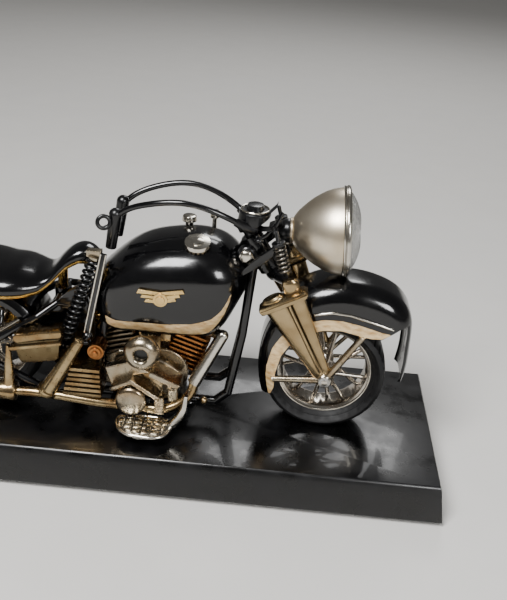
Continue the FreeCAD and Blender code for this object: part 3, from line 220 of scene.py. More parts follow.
@dataclass(frozen=True)
class Lacquer(Finish):
    """Sprayed gloss lacquer: a clear coat over near black, with faint orange peel and dull finger haze."""

    deep: str = "#020203"
    haze: str = "#050506"
    roughness: tuple[float, float] = (0.12, 0.24)
    peel_mm: float = 4.0
    peel_depth_mm: float = 0.006
    dust: str = "#4a4844"
    dust_share: float = 0.05
    coat: float = 0.35

    def paint(self, tree: bpy.types.NodeTree, shader: bpy.types.Node) -> None:
        """Add the lacquer's nodes."""
        cloud = noise(tree, 11.0)
        ground = blended(tree, spread(tree, cloud, 0.35, 0.7, 0.0, 1.0), self.deep, self.haze)
        specks = spread(tree, noise(tree, 0.5, 1.0), 0.70, 0.78, 0.0, self.dust_share)
        colour = blended(tree, specks, ground, self.dust)
        tree.links.new(colour, shader.inputs["Base Color"])
        tree.links.new(spread(tree, cloud, 0.3, 0.7, *self.roughness), shader.inputs["Roughness"])
        shader.inputs["IOR"].default_value = 1.42
        shader.inputs["Coat Weight"].default_value = self.coat
        shader.inputs["Coat Roughness"].default_value = 0.06
        tree.links.new(relief(tree, noise(tree, self.peel_mm, 1.0), self.peel_depth_mm), shader.inputs["Normal"])


@dataclass(frozen=True)
class CastMetal(Finish):
    """Antiqued cast metal: bright on what a hand rubs, dark patina left in the corners, a fine sandy grit."""

    bright: str = "#c9bfac"
    patina: str = "#1b140e"
    tint: str = "#a3845c"
    tint_share: float = 0.35
    tint_mm: float = 9.0
    roughness: tuple[float, float] = (0.24, 0.42)
    grit_mm: float = 0.5
    grit_depth_mm: float = 0.025
    corner_mm: float = 1.6
    bare: float = 0.86
    stain: float = 0.75

    def paint(self, tree: bpy.types.NodeTree, shader: bpy.types.Node) -> None:
        """Add the casting's nodes."""
        blots = noise(tree, self.tint_mm, 2.0)
        tinted = blended(tree, spread(tree, blots, 0.38, 0.66, 0.0, self.tint_share), self.bright, self.tint)
        corner = add_node(tree, "ShaderNodeAmbientOcclusion",
                          {"only_local": True, "samples": 8, "Distance": self.corner_mm * MM})
        rubbed = spread(tree, corner.outputs["AO"], 0.38, self.bare, 0.0, 1.0)
        stained = spread(tree, noise(tree, 2.4, 3.0), 0.30, 0.50, self.stain, 1.0)
        shown = add_node(tree, "ShaderNodeMath", {"operation": "MULTIPLY"}, {0: rubbed, 1: stained}).outputs[0]
        tree.links.new(blended(tree, shown, self.patina, tinted), shader.inputs["Base Color"])
        shader.inputs["Metallic"].default_value = 1.0
        low, high = self.roughness
        tree.links.new(spread(tree, shown, 0.0, 1.0, high + 0.12, low), shader.inputs["Roughness"])
        tree.links.new(relief(tree, noise(tree, self.grit_mm, 2.0), self.grit_depth_mm), shader.inputs["Normal"])


@dataclass(frozen=True)
class WorkedMetal(Finish):
    """Turned, drawn or plated metal: fine marks along the work and small roughness changes."""

    colour: str = "#b8b8b6"
    shade: str = "#8d8a84"
    marks: tuple[float, float, float] = (1.0, 14.0, 1.0)
    mark_mm: float = 1.2
    roughness: tuple[float, float] = (0.16, 0.32)
    depth_mm: float = 0.006

    def paint(self, tree: bpy.types.NodeTree, shader: bpy.types.Node) -> None:
        """Add the worked metal's nodes."""
        drawn = noise(tree, self.mark_mm, 4.0, self.marks)
        tree.links.new(blended(tree, spread(tree, drawn, 0.3, 0.7, 0.0, 1.0), self.shade, self.colour),
                       shader.inputs["Base Color"])
        shader.inputs["Metallic"].default_value = 1.0
        tree.links.new(spread(tree, drawn, 0.3, 0.7, *self.roughness), shader.inputs["Roughness"])
        tree.links.new(relief(tree, drawn, self.depth_mm), shader.inputs["Normal"])


@dataclass(frozen=True)
class StripeEnamel(Finish):
    """Hand-laid cream and gold enamel: thin, streaked along the stroke, satin."""

    pale: str = "#d3b88b"
    gold: str = "#a9834f"
    worn: str = "#5a4426"

    def paint(self, tree: bpy.types.NodeTree, shader: bpy.types.Node) -> None:
        """Add the enamel's nodes."""
        streak = noise(tree, 3.4, 4.0, (1.0, 1.0, 2.2))
        ground = blended(tree, spread(tree, streak, 0.40, 0.68, 0.0, 1.0), self.pale, self.gold)
        chips = spread(tree, noise(tree, 0.9, 3.0), 0.66, 0.74, 0.0, 0.7)
        tree.links.new(blended(tree, chips, ground, self.worn), shader.inputs["Base Color"])
        shader.inputs["Metallic"].default_value = 0.25
        shader.inputs["Coat Weight"].default_value = 0.3
        shader.inputs["Coat Roughness"].default_value = 0.2
        tree.links.new(spread(tree, streak, 0.3, 0.7, 0.28, 0.44), shader.inputs["Roughness"])
        tree.links.new(relief(tree, streak, 0.02), shader.inputs["Normal"])


@dataclass(frozen=True)
class MouldedRubber(Finish):
    """Moulded rubber: near black, matt with a slight bloom, fine mould texture."""

    deep: str = "#060607"
    bloom: str = "#151414"
    roughness: tuple[float, float] = (0.46, 0.70)

    def paint(self, tree: bpy.types.NodeTree, shader: bpy.types.Node) -> None:
        """Add the rubber's nodes."""
        bloom = noise(tree, 4.0, 4.0)
        tree.links.new(blended(tree, spread(tree, bloom, 0.45, 0.72, 0.0, 0.8), self.deep, self.bloom),
                       shader.inputs["Base Color"])
        tree.links.new(spread(tree, bloom, 0.3, 0.7, *self.roughness), shader.inputs["Roughness"])
        shader.inputs["IOR"].default_value = 1.38
        tree.links.new(relief(tree, noise(tree, 0.3, 2.0), 0.02), shader.inputs["Normal"])


@dataclass(frozen=True)
class PressedGlass(Finish):
    """Pressed lamp glass: clear or dyed, with slow ripples from the mould."""

    dye: str = "#f1efe9"
    second: str = "#dfe0de"
    roughness: float = 0.12
    clear: float = 0.75

    def paint(self, tree: bpy.types.NodeTree, shader: bpy.types.Node) -> None:
        """Add the glass's nodes."""
        ripple = noise(tree, 2.0, 1.0)
        tree.links.new(blended(tree, ripple, self.dye, self.second), shader.inputs["Base Color"])
        shader.inputs["Transmission Weight"].default_value = self.clear
        shader.inputs["Roughness"].default_value = self.roughness
        shader.inputs["IOR"].default_value = 1.5
        tree.links.new(relief(tree, ripple, 0.03), shader.inputs["Normal"])


GLOSS_BLACK = Lacquer("gloss_black_lacquer", "lacquer")
PLINTH_BLACK = Lacquer("plinth_black_lacquer", "plinth_wood", deep="#030303", haze="#08080a", roughness=(0.20, 0.42),
                       peel_mm=6.0, peel_depth_mm=0.012, dust_share=0.16, coat=0.15)
SADDLE_BLACK = Lacquer("saddle_black_gloss", "saddle_black", roughness=(0.14, 0.22), peel_depth_mm=0.003)
SATIN_BLACK = Lacquer("satin_black_paint", "lacquer", roughness=(0.24, 0.38), peel_mm=1.0, coat=0.2)
PEWTER = CastMetal("antiqued_cast_pewter", "pewter", bright="#aaa08c", tint="#86683f", tint_share=0.55)
LAMP_PEWTER = CastMetal("satin_lamp_pewter", "pewter", bright="#ddd2be", patina="#5a4e3e", tint="#b7a280",
                        tint_share=0.5,
                        roughness=(0.36, 0.44), grit_depth_mm=0.012, tint_mm=14.0, stain=0.92)
OLD_GOLD = CastMetal("worn_old_gold_wash", "old_gold", bright="#a8946f", patina="#1a1009", tint="#74522c",
                     tint_share=0.7, tint_mm=11.0, corner_mm=2.2)
# Painted shade: a darkened copy of the old gold for the tool box bin and bracket under the tiers.
PAINTED_SHADE_GOLD = CastMetal("shaded_old_gold", "old_gold", bright="#6f6248", patina="#120c07", tint="#4c3a20", tint_share=0.6)
BRIGHT_GOLD = CastMetal("rubbed_gold_badge", "old_gold", bright="#e0c184", patina="#3a2610", tint="#b98d4e",
                        tint_share=0.3, roughness=(0.2, 0.32))
FORK_GOLD = CastMetal("warm_cast_fork_metal", "old_gold", bright="#ad9873", patina="#241a10", tint="#7d6240",
                      tint_share=0.5, tint_mm=12.0, grit_depth_mm=0.012, stain=0.9)
COPPER = CastMetal("rough_copper_wash", "copper", bright="#a16c3e", patina="#100804", tint="#5e3519", tint_share=0.5,
                   tint_mm=5.0, corner_mm=1.1, bare=0.95)
BRIGHT_SILVER = CastMetal("worn_silver_plate", "silver", bright="#d2cdc2", patina="#2c261f", tint="#a29680",
                          tint_share=0.35, roughness=(0.18, 0.34), grit_depth_mm=0.02, stain=0.85)
SPOKE_SILVER = CastMetal("aged_spoke_silver", "pewter", bright="#b5afa4", patina="#22140a", tint="#7d6345",
                         tint_share=0.5, tint_mm=7.0, roughness=(0.20, 0.36), grit_depth_mm=0.02, stain=0.85)
DARK_FINS = CastMetal("dark_pewter_fins", "pewter", bright="#7d7465", patina="#0f0c09", tint="#5c4a31", tint_share=0.5)
STEEL = WorkedMetal("drawn_spring_steel", "steel")
DARK_STEEL = CastMetal("rubbed_black_spring", "steel", bright="#6f6a62", patina="#060504", tint="#2c2620",
                       tint_share=0.6,
                       corner_mm=0.9, bare=0.95)
BLACK_STEEL = Lacquer("black_dipped_steel", "lacquer", roughness=(0.16, 0.28), peel_mm=1.0)
# Brass darkened nearly to black for the movement plates behind the strut.
DARKENED_BRASS = WorkedMetal("darkened_brass_plate", "brass", colour="#40331d", shade="#17120a", roughness=(0.3, 0.5))
BRASS = WorkedMetal("turned_brass", "brass", colour="#c9a45c", shade="#8f6c34")
CREAM_GOLD = StripeEnamel("cream_gold_enamel", "old_gold")
TYRE_RUBBER = MouldedRubber("moulded_tyre_rubber", "tyre")
FOOT_RUBBER = MouldedRubber("moulded_foot_rubber", "felt_rubber", deep="#101010", bloom="#242322")
CLEAR_GLASS = PressedGlass("pressed_clear_glass", "clear_glass")
RED_GLASS = PressedGlass("pressed_red_glass", "red_glass", dye="#a01010", second="#6d0808", clear=0.5)


# ---- bench -----------------------------------------------------------------------------------
def deselect() -> None:
    """Leave edit mode and deselect everything."""
    if bpy.context.object and bpy.context.object.mode != "OBJECT":
        bpy.ops.object.mode_set(mode="OBJECT")
    bpy.ops.object.select_all(action="DESELECT")


def pick(*pieces: bpy.types.Object) -> None:
    """Select these pieces only, the first one active."""
    deselect()
    for piece in pieces:
        piece.select_set(True)
    bpy.context.view_layer.objects.active = pieces[0]


def edit(piece: bpy.types.Object, action: str = "SELECT") -> None:
    """Enter edit mode on one piece with all or nothing selected."""
    pick(piece)
    bpy.ops.object.mode_set(mode="EDIT")
    bpy.ops.mesh.select_mode(type="VERT")
    bpy.ops.mesh.select_all(action=action)


def smooth(piece: bpy.types.Object, angle_deg: float) -> None:
    """Shade faces smooth where they meet at less than this angle."""
    pick(piece)
    bpy.ops.object.shade_smooth_by_angle(angle=math.radians(angle_deg), keep_sharp_edges=False)


def cleaned(piece: bpy.types.Object, name: str, angle_deg: float = 35.0) -> bpy.types.Object:
    """Merge doubles, close up poles, point faces outwards, settle the place and shade.

    Args:
        piece: the new mesh.
        name: its name.
        angle_deg: smoothing angle.

    Returns:
        The same piece, with its object at the origin.
    """
    edit(piece)
    bpy.ops.mesh.remove_doubles(threshold=MERGE)
    bpy.ops.mesh.dissolve_degenerate(threshold=MERGE)
    bpy.ops.mesh.select_all(action="SELECT")
    bpy.ops.mesh.delete_loose(use_verts=True, use_edges=True, use_faces=False)
    bpy.ops.mesh.select_all(action="SELECT")
    bpy.ops.mesh.normals_make_consistent(inside=False)
    bpy.ops.object.mode_set(mode="OBJECT")
    pick(piece)
    bpy.ops.object.transform_apply(location=True, rotation=True, scale=True)
    piece.name = name
    piece.data.name = name
    smooth(piece, angle_deg)
    return piece


def modified(piece: bpy.types.Object, kind: str, **settings: object) -> bpy.types.Object:
    """Add a modifier with these settings and apply it."""
    pick(piece)
    modifier = piece.modifiers.new(kind.title(), kind)
    for key, value in settings.items():
        setattr(modifier, key, value)
    bpy.ops.object.modifier_apply(modifier=modifier.name)
    return piece


def eased(piece: bpy.types.Object, width_mm: float, segments: int = 2, angle_deg: float = 30.0) -> bpy.types.Object:
    """Round every edge sharper than an angle by this width."""
    if width_mm > 0:
        modified(piece, "BEVEL", width=width_mm * MM, segments=segments, limit_method="ANGLE",
                 angle_limit=math.radians(angle_deg), use_clamp_overlap=True, miter_outer="MITER_ARC")
        smooth(piece, EASED_DEG)
    return piece


def turned(name: str, profile: Outline, centre: Place, along: Vector = ACROSS, steps: int = 48,
           ease_mm: float = 0.0, angle_deg: float = 32.0) -> bpy.types.Object:
    """Turn a closed profile about an axis, as on a lathe.

    Args:
        name: the piece's name.
        profile: (distance along the axis, radius) points round the section.
        centre: where the axis starts, in millimetres.
        along: direction of the axis.
        steps: faces round the axis.
        ease_mm: width of the rounded edges.
        angle_deg: smoothing angle.

    Returns:
        The turned piece.
    """
    deselect()
    bpy.ops.mesh.primitive_circle_add(vertices=len(profile), radius=MM)
    piece = bpy.context.object
    for vertex, (distance, radius) in zip(piece.data.vertices, profile):
        vertex.co = mm(radius, 0.0, distance)
    edit(piece)
    bpy.ops.mesh.spin(steps=steps, angle=2 * math.pi, center=(0, 0, 0), axis=(0, 0, 1))
    bpy.ops.object.mode_set(mode="OBJECT")
    turn = Vector(along).to_track_quat("Z", "Y").to_matrix().to_4x4()
    piece.matrix_world = Matrix.Translation(Vector(centre) * MM) @ turn
    return eased(cleaned(piece, name, angle_deg), ease_mm)


def plate(name: str, outline: Outline, y0: float, y1: float, ease_mm: float = 0.25) -> bpy.types.Object:
    """Cut a plate to a side-view outline and give it a thickness across the machine."""
    deselect()
    bpy.ops.mesh.primitive_circle_add(vertices=len(outline), radius=MM, fill_type="NGON")
    piece = bpy.context.object
    for vertex, (x, z) in zip(piece.data.vertices, outline):
        vertex.co = mm(x, y0, z)
    edit(piece)
    bpy.ops.mesh.extrude_region_move(TRANSFORM_OT_translate={"value": (0.0, (y1 - y0) * MM, 0.0)})
    bpy.ops.object.mode_set(mode="OBJECT")
    return eased(cleaned(piece, name), ease_mm)


def block(name: str, low: Place, high: Place, ease_mm: float = 0.3) -> bpy.types.Object:
    """Saw a block between two corners and round its edges."""
    deselect()
    middle = (Vector(low) + Vector(high)) / 2 * MM
    bpy.ops.mesh.primitive_cube_add(size=1.0, location=middle)
    piece = bpy.context.object
    piece.scale = (Vector(high) - Vector(low)) * MM
    return eased(cleaned(piece, name), ease_mm)


def tube(name: str, points: Sequence[Place], radii: float | Sequence[float], closed: bool = False,
         bends: int = 6, sides: int = 4, straight: bool = False) -> bpy.types.Object:
    """Bend a rod or tube along places, its thickness changing smoothly.

    Args:
        name: the piece's name.
        points: places that it passes through, in millimetres.
        radii: one radius, or one for each place.
        closed: whether the ends join.
        bends: faces along each span.
        sides: a quarter of the faces round it.
        straight: whether the spans stay straight.

    Returns:
        The bent piece as a mesh.
    """
    deselect()
    bpy.ops.curve.primitive_bezier_curve_add(location=(0, 0, 0))
    bent = bpy.context.object
    spline = bent.data.splines[0]
    spline.bezier_points.add(len(points) - 2)
    sizes = [radii] * len(points) if isinstance(radii, (int, float)) else list(radii)
    handle = "VECTOR" if straight else "AUTO"
    for knot, place, radius in zip(spline.bezier_points, points, sizes):
        knot.co = Vector(place) * MM
        knot.handle_left_type = handle
        knot.handle_right_type = handle
        knot.radius = radius
    spline.use_cyclic_u = closed
    bent.data.resolution_u = bends
    bent.data.bevel_resolution = sides
    bent.data.bevel_depth = MM
    bent.data.use_fill_caps = not closed
    pick(bent)
    bpy.ops.object.convert(target="MESH")
    return cleaned(bpy.context.object, name, 50.0)


def wrapped(name: str, across: int, along: int, place: Callable[[float, float], Vector],
            angle_deg: float = 60.0) -> bpy.types.Object:
    """Beat a grid of sheet to a surface.

    Args:
        name: the piece's name.
        across: faces along the first direction.
        along: faces along the second.
        place: returns the place in millimetres for shares 0..1 of both directions.
        angle_deg: smoothing angle.

    Returns:
        The shaped sheet, closed where its edges meet.
    """
    deselect()
    bpy.ops.mesh.primitive_grid_add(x_subdivisions=across, y_subdivisions=along, size=1.0)
    piece = bpy.context.object
    for vertex in piece.data.vertices:
        vertex.co = place(vertex.co.x + 0.5, vertex.co.y + 0.5) * MM
    return cleaned(piece, name, angle_deg)


def copied(piece: bpy.types.Object, name: str, change: Matrix) -> bpy.types.Object:
    """Copy a piece with its own mesh, changed by a matrix in metres."""
    pick(piece)
    bpy.ops.object.duplicate(linked=False)
    twin = bpy.context.object
    twin.data.transform(change)
    twin.name = name
    twin.data.name = name
    if change.determinant() < 0:
        edit(twin)
        bpy.ops.mesh.normals_make_consistent(inside=False)
        bpy.ops.object.mode_set(mode="OBJECT")
    return twin


def other_side(piece: bpy.types.Object, name: str) -> bpy.types.Object:
    """Copy a piece to the machine's other side."""
    return copied(piece, name, Matrix.Scale(-1.0, 4, ACROSS))


def about(centre: Place, axis: Vector, angle_deg: float) -> Matrix:
    """Return a turn about an axis through a place in millimetres."""
    shift = Matrix.Translation(Vector(centre) * MM)
    return shift @ Matrix.Rotation(math.radians(angle_deg), 4, axis) @ shift.inverted()


def joined(name: str, pieces: Sequence[bpy.types.Object]) -> bpy.types.Object:
    """Join pieces into one."""
    pick(*pieces)
    if len(pieces) > 1:
        bpy.ops.object.join()
    whole = bpy.context.object
    whole.name = name
    whole.data.name = name
    return whole


def refined(name: str, node: str, ease_mm: float = 0.2, segments: int = 2) -> bpy.types.Object:
    """Copy a design node, merge it, clear its flat faces and round its edges.

    Args:
        name: the new piece's name.
        node: the design node to copy.
        ease_mm: width of the rounded edges.
        segments: faces across each rounded edge.

    Returns:
        The finer copy.
    """
    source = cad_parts[node]
    piece = bpy.data.objects.new(name, source.data.copy())
    bpy.context.scene.collection.objects.link(piece)
    piece.data.materials.clear()
    edit(piece)
    bpy.ops.mesh.remove_doubles(threshold=MERGE)
    bpy.ops.mesh.select_all(action="SELECT")
    bpy.ops.mesh.dissolve_limited(angle_limit=math.radians(FLAT_DEG))
    bpy.ops.object.mode_set(mode="OBJECT")
    piece.data.name = name
    smooth(piece, CRISP_DEG)
    return eased(piece, ease_mm, segments)


def softened(name: str, node: str, voxel_mm: float = 0.3, rounds: int = 4) -> bpy.types.Object:
    """Copy a design node and soften it all over, as sand casting does.

    Args:
        name: the new piece's name.
        node: the design node to copy.
        voxel_mm: size of the mesh's cells.
        rounds: rounds of smoothing.

    Returns:
        The soft casting.
    """
    piece = refined(name, node, 0.0)
    return cast_soft(piece, voxel_mm, rounds)


def cast_soft(piece: bpy.types.Object, voxel_mm: float, rounds: int) -> bpy.types.Object:
    """Melt a piece's parts into one casting with soft corners."""
    modified(piece, "REMESH", mode="VOXEL", voxel_size=voxel_mm * MM, adaptivity=0.0)
    modified(piece, "SMOOTH", factor=0.5, iterations=rounds)
    smooth(piece, SOFT_DEG)
    return piece


def dress(piece: bpy.types.Object, finish: Finish, body: Body, *nodes: str) -> bpy.types.Object:
    """Give a piece its finish, its body and the design nodes that it stands for."""
    piece.data.materials.clear()
    piece.data.materials.append(finish.material())
    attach(piece, body.value)
    if nodes:
        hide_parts(*nodes)
    LOG.info("%s: %s, rides on %s, %d faces", piece.name, finish.name, body.value, len(piece.data.polygons))
    return piece


def finer(name: str, node: str, finish: Finish, body: Body, ease_mm: float = 0.2,
          segments: int = 2) -> bpy.types.Object:
    """Refine a design node, then dress the copy to stand for it.

    Args:
        name: the new piece's name.
        node: the design node that it stands for.
        finish: its finish.
        body: the body that it rides on.
        ease_mm: width of the rounded edges.
        segments: faces across each rounded edge.

    Returns:
        The finished piece.
    """
    return dress(refined(name, node, ease_mm, segments), finish, body, node)


def spindle(name: str, stations: Sequence[tuple[Place, float]], flat: float = 1.0, sides: int = 32,
            fine: int = 3) -> bpy.types.Object:
    """Shape a tapered bar with round or oval sections, closed at both ends.

    Args:
        name: the piece's name.
        stations: (place, radius) pairs along the bar, in millimetres; a radius of 0 closes an end.
        flat: share of the radius kept across the machine.
        sides: faces round it.
        fine: faces along each span.

    Returns:
        The shaped bar.
    """
    run = (Vector(stations[-1][0]) - Vector(stations[0][0])).normalized()
    side = run.cross(ACROSS).normalized()
    spans = len(stations) - 1

    def place(u: float, v: float) -> Vector:
        """Return the place at a share round the bar and along it."""
        step = min(int(v * spans), spans - 1)
        share = v * spans - step
        centre = Vector(stations[step][0]).lerp(Vector(stations[step + 1][0]), share)
        radius = stations[step][1] * (1 - share) + stations[step + 1][1] * share
        angle = 2 * math.pi * u
        return centre + radius * (math.cos(angle) * side + math.sin(angle) * flat * ACROSS)

    return wrapped(name, sides, spans * fine, place, 40.0)


def ribbon(name: str, low: Outline, high: Outline, y: float, target: bpy.types.Object,
           thick_mm: float = 0.3) -> bpy.types.Object:
    """Lay a thin raised stripe between two side-view edges onto a surface.

    Args:
        name: the stripe's name.
        low: its lower edge.
        high: its upper edge, with as many points.
        y: where the stripe starts, just outside the surface.
        target: the piece that it is laid on.
        thick_mm: how thick the stripe is.

    Returns:
        The stripe, pressed to the surface.
    """
    spans = len(low) - 1

    def place(u: float, v: float) -> Vector:
        """Return the place at a share along the stripe and up it."""
        step = min(int(u * spans), spans - 1)
        share = u * spans - step
        below = Vector(low[step]).lerp(Vector(low[step + 1]), share)
        above = Vector(high[step]).lerp(Vector(high[step + 1]), share)
        point = below.lerp(above, v)
        return Vector((point.x, y, point.y))

    piece = wrapped(name, spans * 10, 10, place)
    modified(piece, "SHRINKWRAP", target=target, wrap_method="NEAREST_SURFACEPOINT", offset=0.0)
    modified(piece, "SMOOTH", factor=0.5, iterations=2)
    modified(piece, "SHRINKWRAP", target=target, wrap_method="NEAREST_SURFACEPOINT", offset=STRIPE_LIFT_MM * MM)
    modified(piece, "SOLIDIFY", thickness=thick_mm * MM, offset=0.0, use_even_offset=True)
    edit(piece)
    bpy.ops.mesh.normals_make_consistent(inside=False)
    bpy.ops.object.mode_set(mode="OBJECT")
    smooth(piece, 50.0)
    return piece


def split_off(piece: bpy.types.Object, name: str, chosen: Callable[[Vector], bool]) -> bpy.types.Object:
    """Part the faces whose middles are chosen into a piece of their own.

    Args:
        piece: the piece to part.
        name: the new piece's name.
        chosen: takes a face's middle in millimetres and says whether it goes.

    Returns:
        The new piece.
    """
    edit(piece, "DESELECT")
    bpy.ops.mesh.select_mode(type="FACE")
    bpy.ops.object.mode_set(mode="OBJECT")
    for face in piece.data.polygons:
        face.select = chosen(face.center / MM)
    bpy.ops.object.mode_set(mode="EDIT")
    bpy.ops.mesh.separate(type="SELECTED")
    bpy.ops.object.mode_set(mode="OBJECT")
    part = next(other for other in bpy.context.selected_objects if other is not piece)
    part.name = name
    part.data.name = name
    return part


def forked(piece: bpy.types.Object) -> bpy.types.Object:
    """Carry a piece drawn upright at the origin into the raked fork's place."""
    shift = Matrix.Translation(mm(FRONT_X, 0.0, AXLE_Z))
    piece.data.transform(shift @ Matrix.Rotation(-RAKE, 4, ACROSS))
    return piece


def ring_profile(distance: float, radius: float, wire: float, count: int = 10) -> list[tuple[float, float]]:
    """Return a round wire's section for a turned ring."""
    turns = [2 * math.pi * step / count for step in range(count)]
    return [(distance + wire * math.cos(t), radius + wire * math.sin(t)) for t in turns]


# ---- sub-assemblies --------------------------------------------------------------------------
@dataclass
class Roller:
    """Wheel and tyre: spoked cast rim, blocked tyre, bead rings and silver rim lips; the front hub caps are on the
    fork.
    """

    name: str
    axle_x: float
    body: Body
    bead_radius: float = 20.3
    bead_y: float = 8.2
    lip_radius: float = 18.7

    def build(self) -> None:
        """Dress the wheel and tyre and add their rings."""
        finer(f"{self.name}_spoked_rim", f"{self.name}_wheel", SPOKE_SILVER, self.body, 0.3, 3)
        finer(f"{self.name}_balloon_tyre", f"{self.name}_tyre", TYRE_RUBBER, self.body, 0.25)
        for side, label in ((-1, "right"), (1, "left")):
            middle = (self.axle_x, 0.0, AXLE_Z)
            bead = turned(f"{self.name}_tyre_bead_{label}", ring_profile(side * self.bead_y, self.bead_radius, 0.32),
                          middle, steps=96)
            dress(bead, TYRE_RUBBER, self.body)
            lip = turned(f"{self.name}_rim_lip_{label}", ring_profile(side * 6.1, self.lip_radius, 0.5), middle,
                         steps=96)
            dress(lip, BRIGHT_SILVER, self.body)


@dataclass
class Fork:
    """Two cast fork sides of a thick rear leg and a thinner front leg, with strap collar and hub cap."""

    hub_y: float = 12.0
    top_y: float = 17.6
    flat: float = 0.66
    cap_radius: float = 3.5
    collar_lean_deg: float = 2.0

    def build(self) -> None:
        """Build both sides and the steering stem's parts."""
        for side, label in ((-1, "right"), (1, "left")):
            self.side(side, label)
        self.crowns()
        finer("fork_coil_springs", "fork_springs", DARK_STEEL, Body.STEERING, 0.0)
        finer("fork_spring_pins", "fork_spring_rods", SATIN_BLACK, Body.STEERING, 0.2)
        finer("front_axle_pin", "front_axle", STEEL, Body.STEERING, 0.2)

    def crowns(self) -> None:
        """Forge the two rounded crown bars and the stem between them."""
        bars = [
            spindle("top_bar", [(fork_place(65.4, 12.0, -15.8), 0.0), (fork_place(65.4, 12.0, -15.4), 2.0),
                                (fork_place(65.6, 11.6, -12.0), 2.6), (fork_place(65.6, 6.4, -6.0), 2.7),
                                (fork_place(65.6, 3.0, 0.0), 3.8), (fork_place(65.6, 6.4, 6.0), 2.7),
                                (fork_place(65.6, 11.6, 12.0), 2.6), (fork_place(65.4, 12.0, 15.4), 2.0),
                                (fork_place(65.4, 12.0, 15.8), 0.0)]),
            tube("low_bar", [fork_place(46.2, 6.4, -14.6), fork_place(46.0, 2.6, -6.0), fork_place(46.0, 0.6, 0.0),
                             fork_place(46.0, 2.6, 6.0), fork_place(46.2, 6.4, 14.6)], [1.6, 2.2, 3.4, 2.2, 1.6]),
            tube("stem", [fork_place(44.6, 0.0, 0.0), fork_place(69.0, 0.0, 0.0)], 2.38, straight=True),
            tube("stem_nut", [fork_place(66.6, 0.0, 0.0), fork_place(68.8, 0.0, 0.0)], 3.6, straight=True),
        ]
        dress(joined("fork_crown_forging", bars), SATIN_BLACK, Body.STEERING, "fork_crowns")

    def leg(self, name: str, side: int, foot: tuple[float, float, float], head: tuple[float, float, float],
            swell: float) -> bpy.types.Object:
        """Shape one tapered leg from (forward, along, radius) at its foot and head."""
        stations = []
        for share, size in ((0.0, 0.0), (0.0, 0.7), (0.015, 1.0), (0.3, 1.0), (0.6, 1.0 + swell), (0.88, 1.0 + swell),
                            (0.97, 0.94), (0.995, 0.7), (1.0, 0.0)):
            forward = foot[0] + (head[0] - foot[0]) * share
            along = foot[1] + (head[1] - foot[1]) * share
            radius = (foot[2] + (head[2] - foot[2]) * share) * size
            y = side * (self.hub_y + (self.top_y - self.hub_y) * along / 46.0)
            stations.append((fork_place(along, forward, y), radius))
        return spindle(name, stations, self.flat)

    def side(self, side: int, label: str) -> None:
        """Cast one fork side."""
        rear = self.leg("rear_leg", side, (-0.8, 0.0, 2.4), (-0.7, 44.0, 5.2), 0.03)
        front = self.leg("front_leg", side, (1.4, 0.0, 1.9), (8.4, 47.6, 3.5), 0.05)
        y = side * self.top_y
        collar = block("collar", (-7.0, y - 4.0, 38.8), (12.6, y + 3.4, 42.4), 1.5)
        lip = block("collar_lip", (-6.4, y - 4.3, 40.2), (12.9, y + 3.0, 41.2), 0.45)
        collar = joined("collar", [collar, lip])
        collar.data.transform(about((3.0, y, 40.6), ACROSS, self.collar_lean_deg))
        forked(collar)
        rib = spindle("rib", [(fork_place(4.0, 0.4, side * 14.6), 0.0), (fork_place(5.0, 0.5, side * 14.7), 0.5),
                              (fork_place(38.0, 4.0, side * 18.7), 0.6), (fork_place(39.0, 4.1, side * 18.8), 0.0)])
        dress(joined(f"fork_casting_{label}", [rear, front, collar, rib]), FORK_GOLD, Body.STEERING, "fork_sides")
        cap = turned(f"front_hub_cap_{label}", [(0.0, 0.0), (0.0, self.cap_radius + 0.4), (2.6, self.cap_radius + 0.3),
                                               (3.4, self.cap_radius - 0.4), (4.6, 2.6), (5.4, 1.2), (5.6, 0.0)],
                     (FRONT_X, side * 9.8, AXLE_Z), ACROSS * side, 32, 0.2)
        dress(cap, BRIGHT_SILVER, Body.STEERING)


@dataclass
class FrontFender:
    """Deep fender with gold trims, a silver bead and silver stays."""

    half_width: float = 12.6
    stay_radius: float = 1.6
    front_low: Outline = ((-8, 19.8), (-3, 21.9), (4, 22.6), (11, 21.2), (16, 20.3), (20, 20.5), (23, 22.5))
    front_high: Outline = ((-8, 25.2), (-3, 26.7), (4, 26.9), (11, 25.7), (16, 24.4), (20, 23.3), (23, 22.9))
    rear_low: Outline = ((-13, 17.0), (-15.4, 13.4), (-17.9, 9.0), (-19.6, 1.0), (-19.8, -6.0), (-21.4, -9.6))
    rear_high: Outline = ((-15.6, 20.0), (-18.8, 17.8), (-22.2, 12.0), (-24.5, 3.0), (-24.4, -3.0), (-22.6, -9.8))

    def build(self) -> None:
        """Dress the fender and lay its trims."""
        hood = refined("front_fender_hood", "front_fender", 0.2)
        bright = split_off(hood, "front_fender_brightwork", lambda place: abs(place.y) > self.half_width + 0.06)
        dress(hood, GLOSS_BLACK, Body.STEERING, "front_fender")
        dress(bright, BRIGHT_SILVER, Body.STEERING, "front_fender")
        for side, label in ((-1, "right"), (1, "left")):
            for where, low, high in (("front", self.front_low, self.front_high), ("rear", self.rear_low,
                    self.rear_high)):
                trim = ribbon(f"fender_{where}_trim_{label}", self.placed(low), self.placed(high),
                              side * (self.half_width + 0.5), hood)
                dress(trim, CREAM_GOLD, Body.STEERING)
            hub = (FRONT_X - 2.5, side * 12.6, AXLE_Z - 0.3)
            back = tube(f"fender_back_stay_{label}", [hub, (FRONT_X - 20.4, side * 13.0, AXLE_Z - 1.5)],
                        [self.stay_radius, 1.3], straight=True)
            dress(back, PEWTER, Body.STEERING)
            up = tube(f"fender_up_stay_{label}", [(FRONT_X + 1.5, side * 12.6, AXLE_Z + 2.0),
                                                  (FRONT_X + 12.4, side * 13.0, AXLE_Z + 20.6)],
                      [self.stay_radius, 1.3], straight=True)
            dress(up, PEWTER, Body.STEERING)

    def placed(self, points: Outline) -> list[tuple[float, float]]:
        """Return side-view points given from the axle."""
        return [(FRONT_X + x, AXLE_Z + z) for x, z in points]


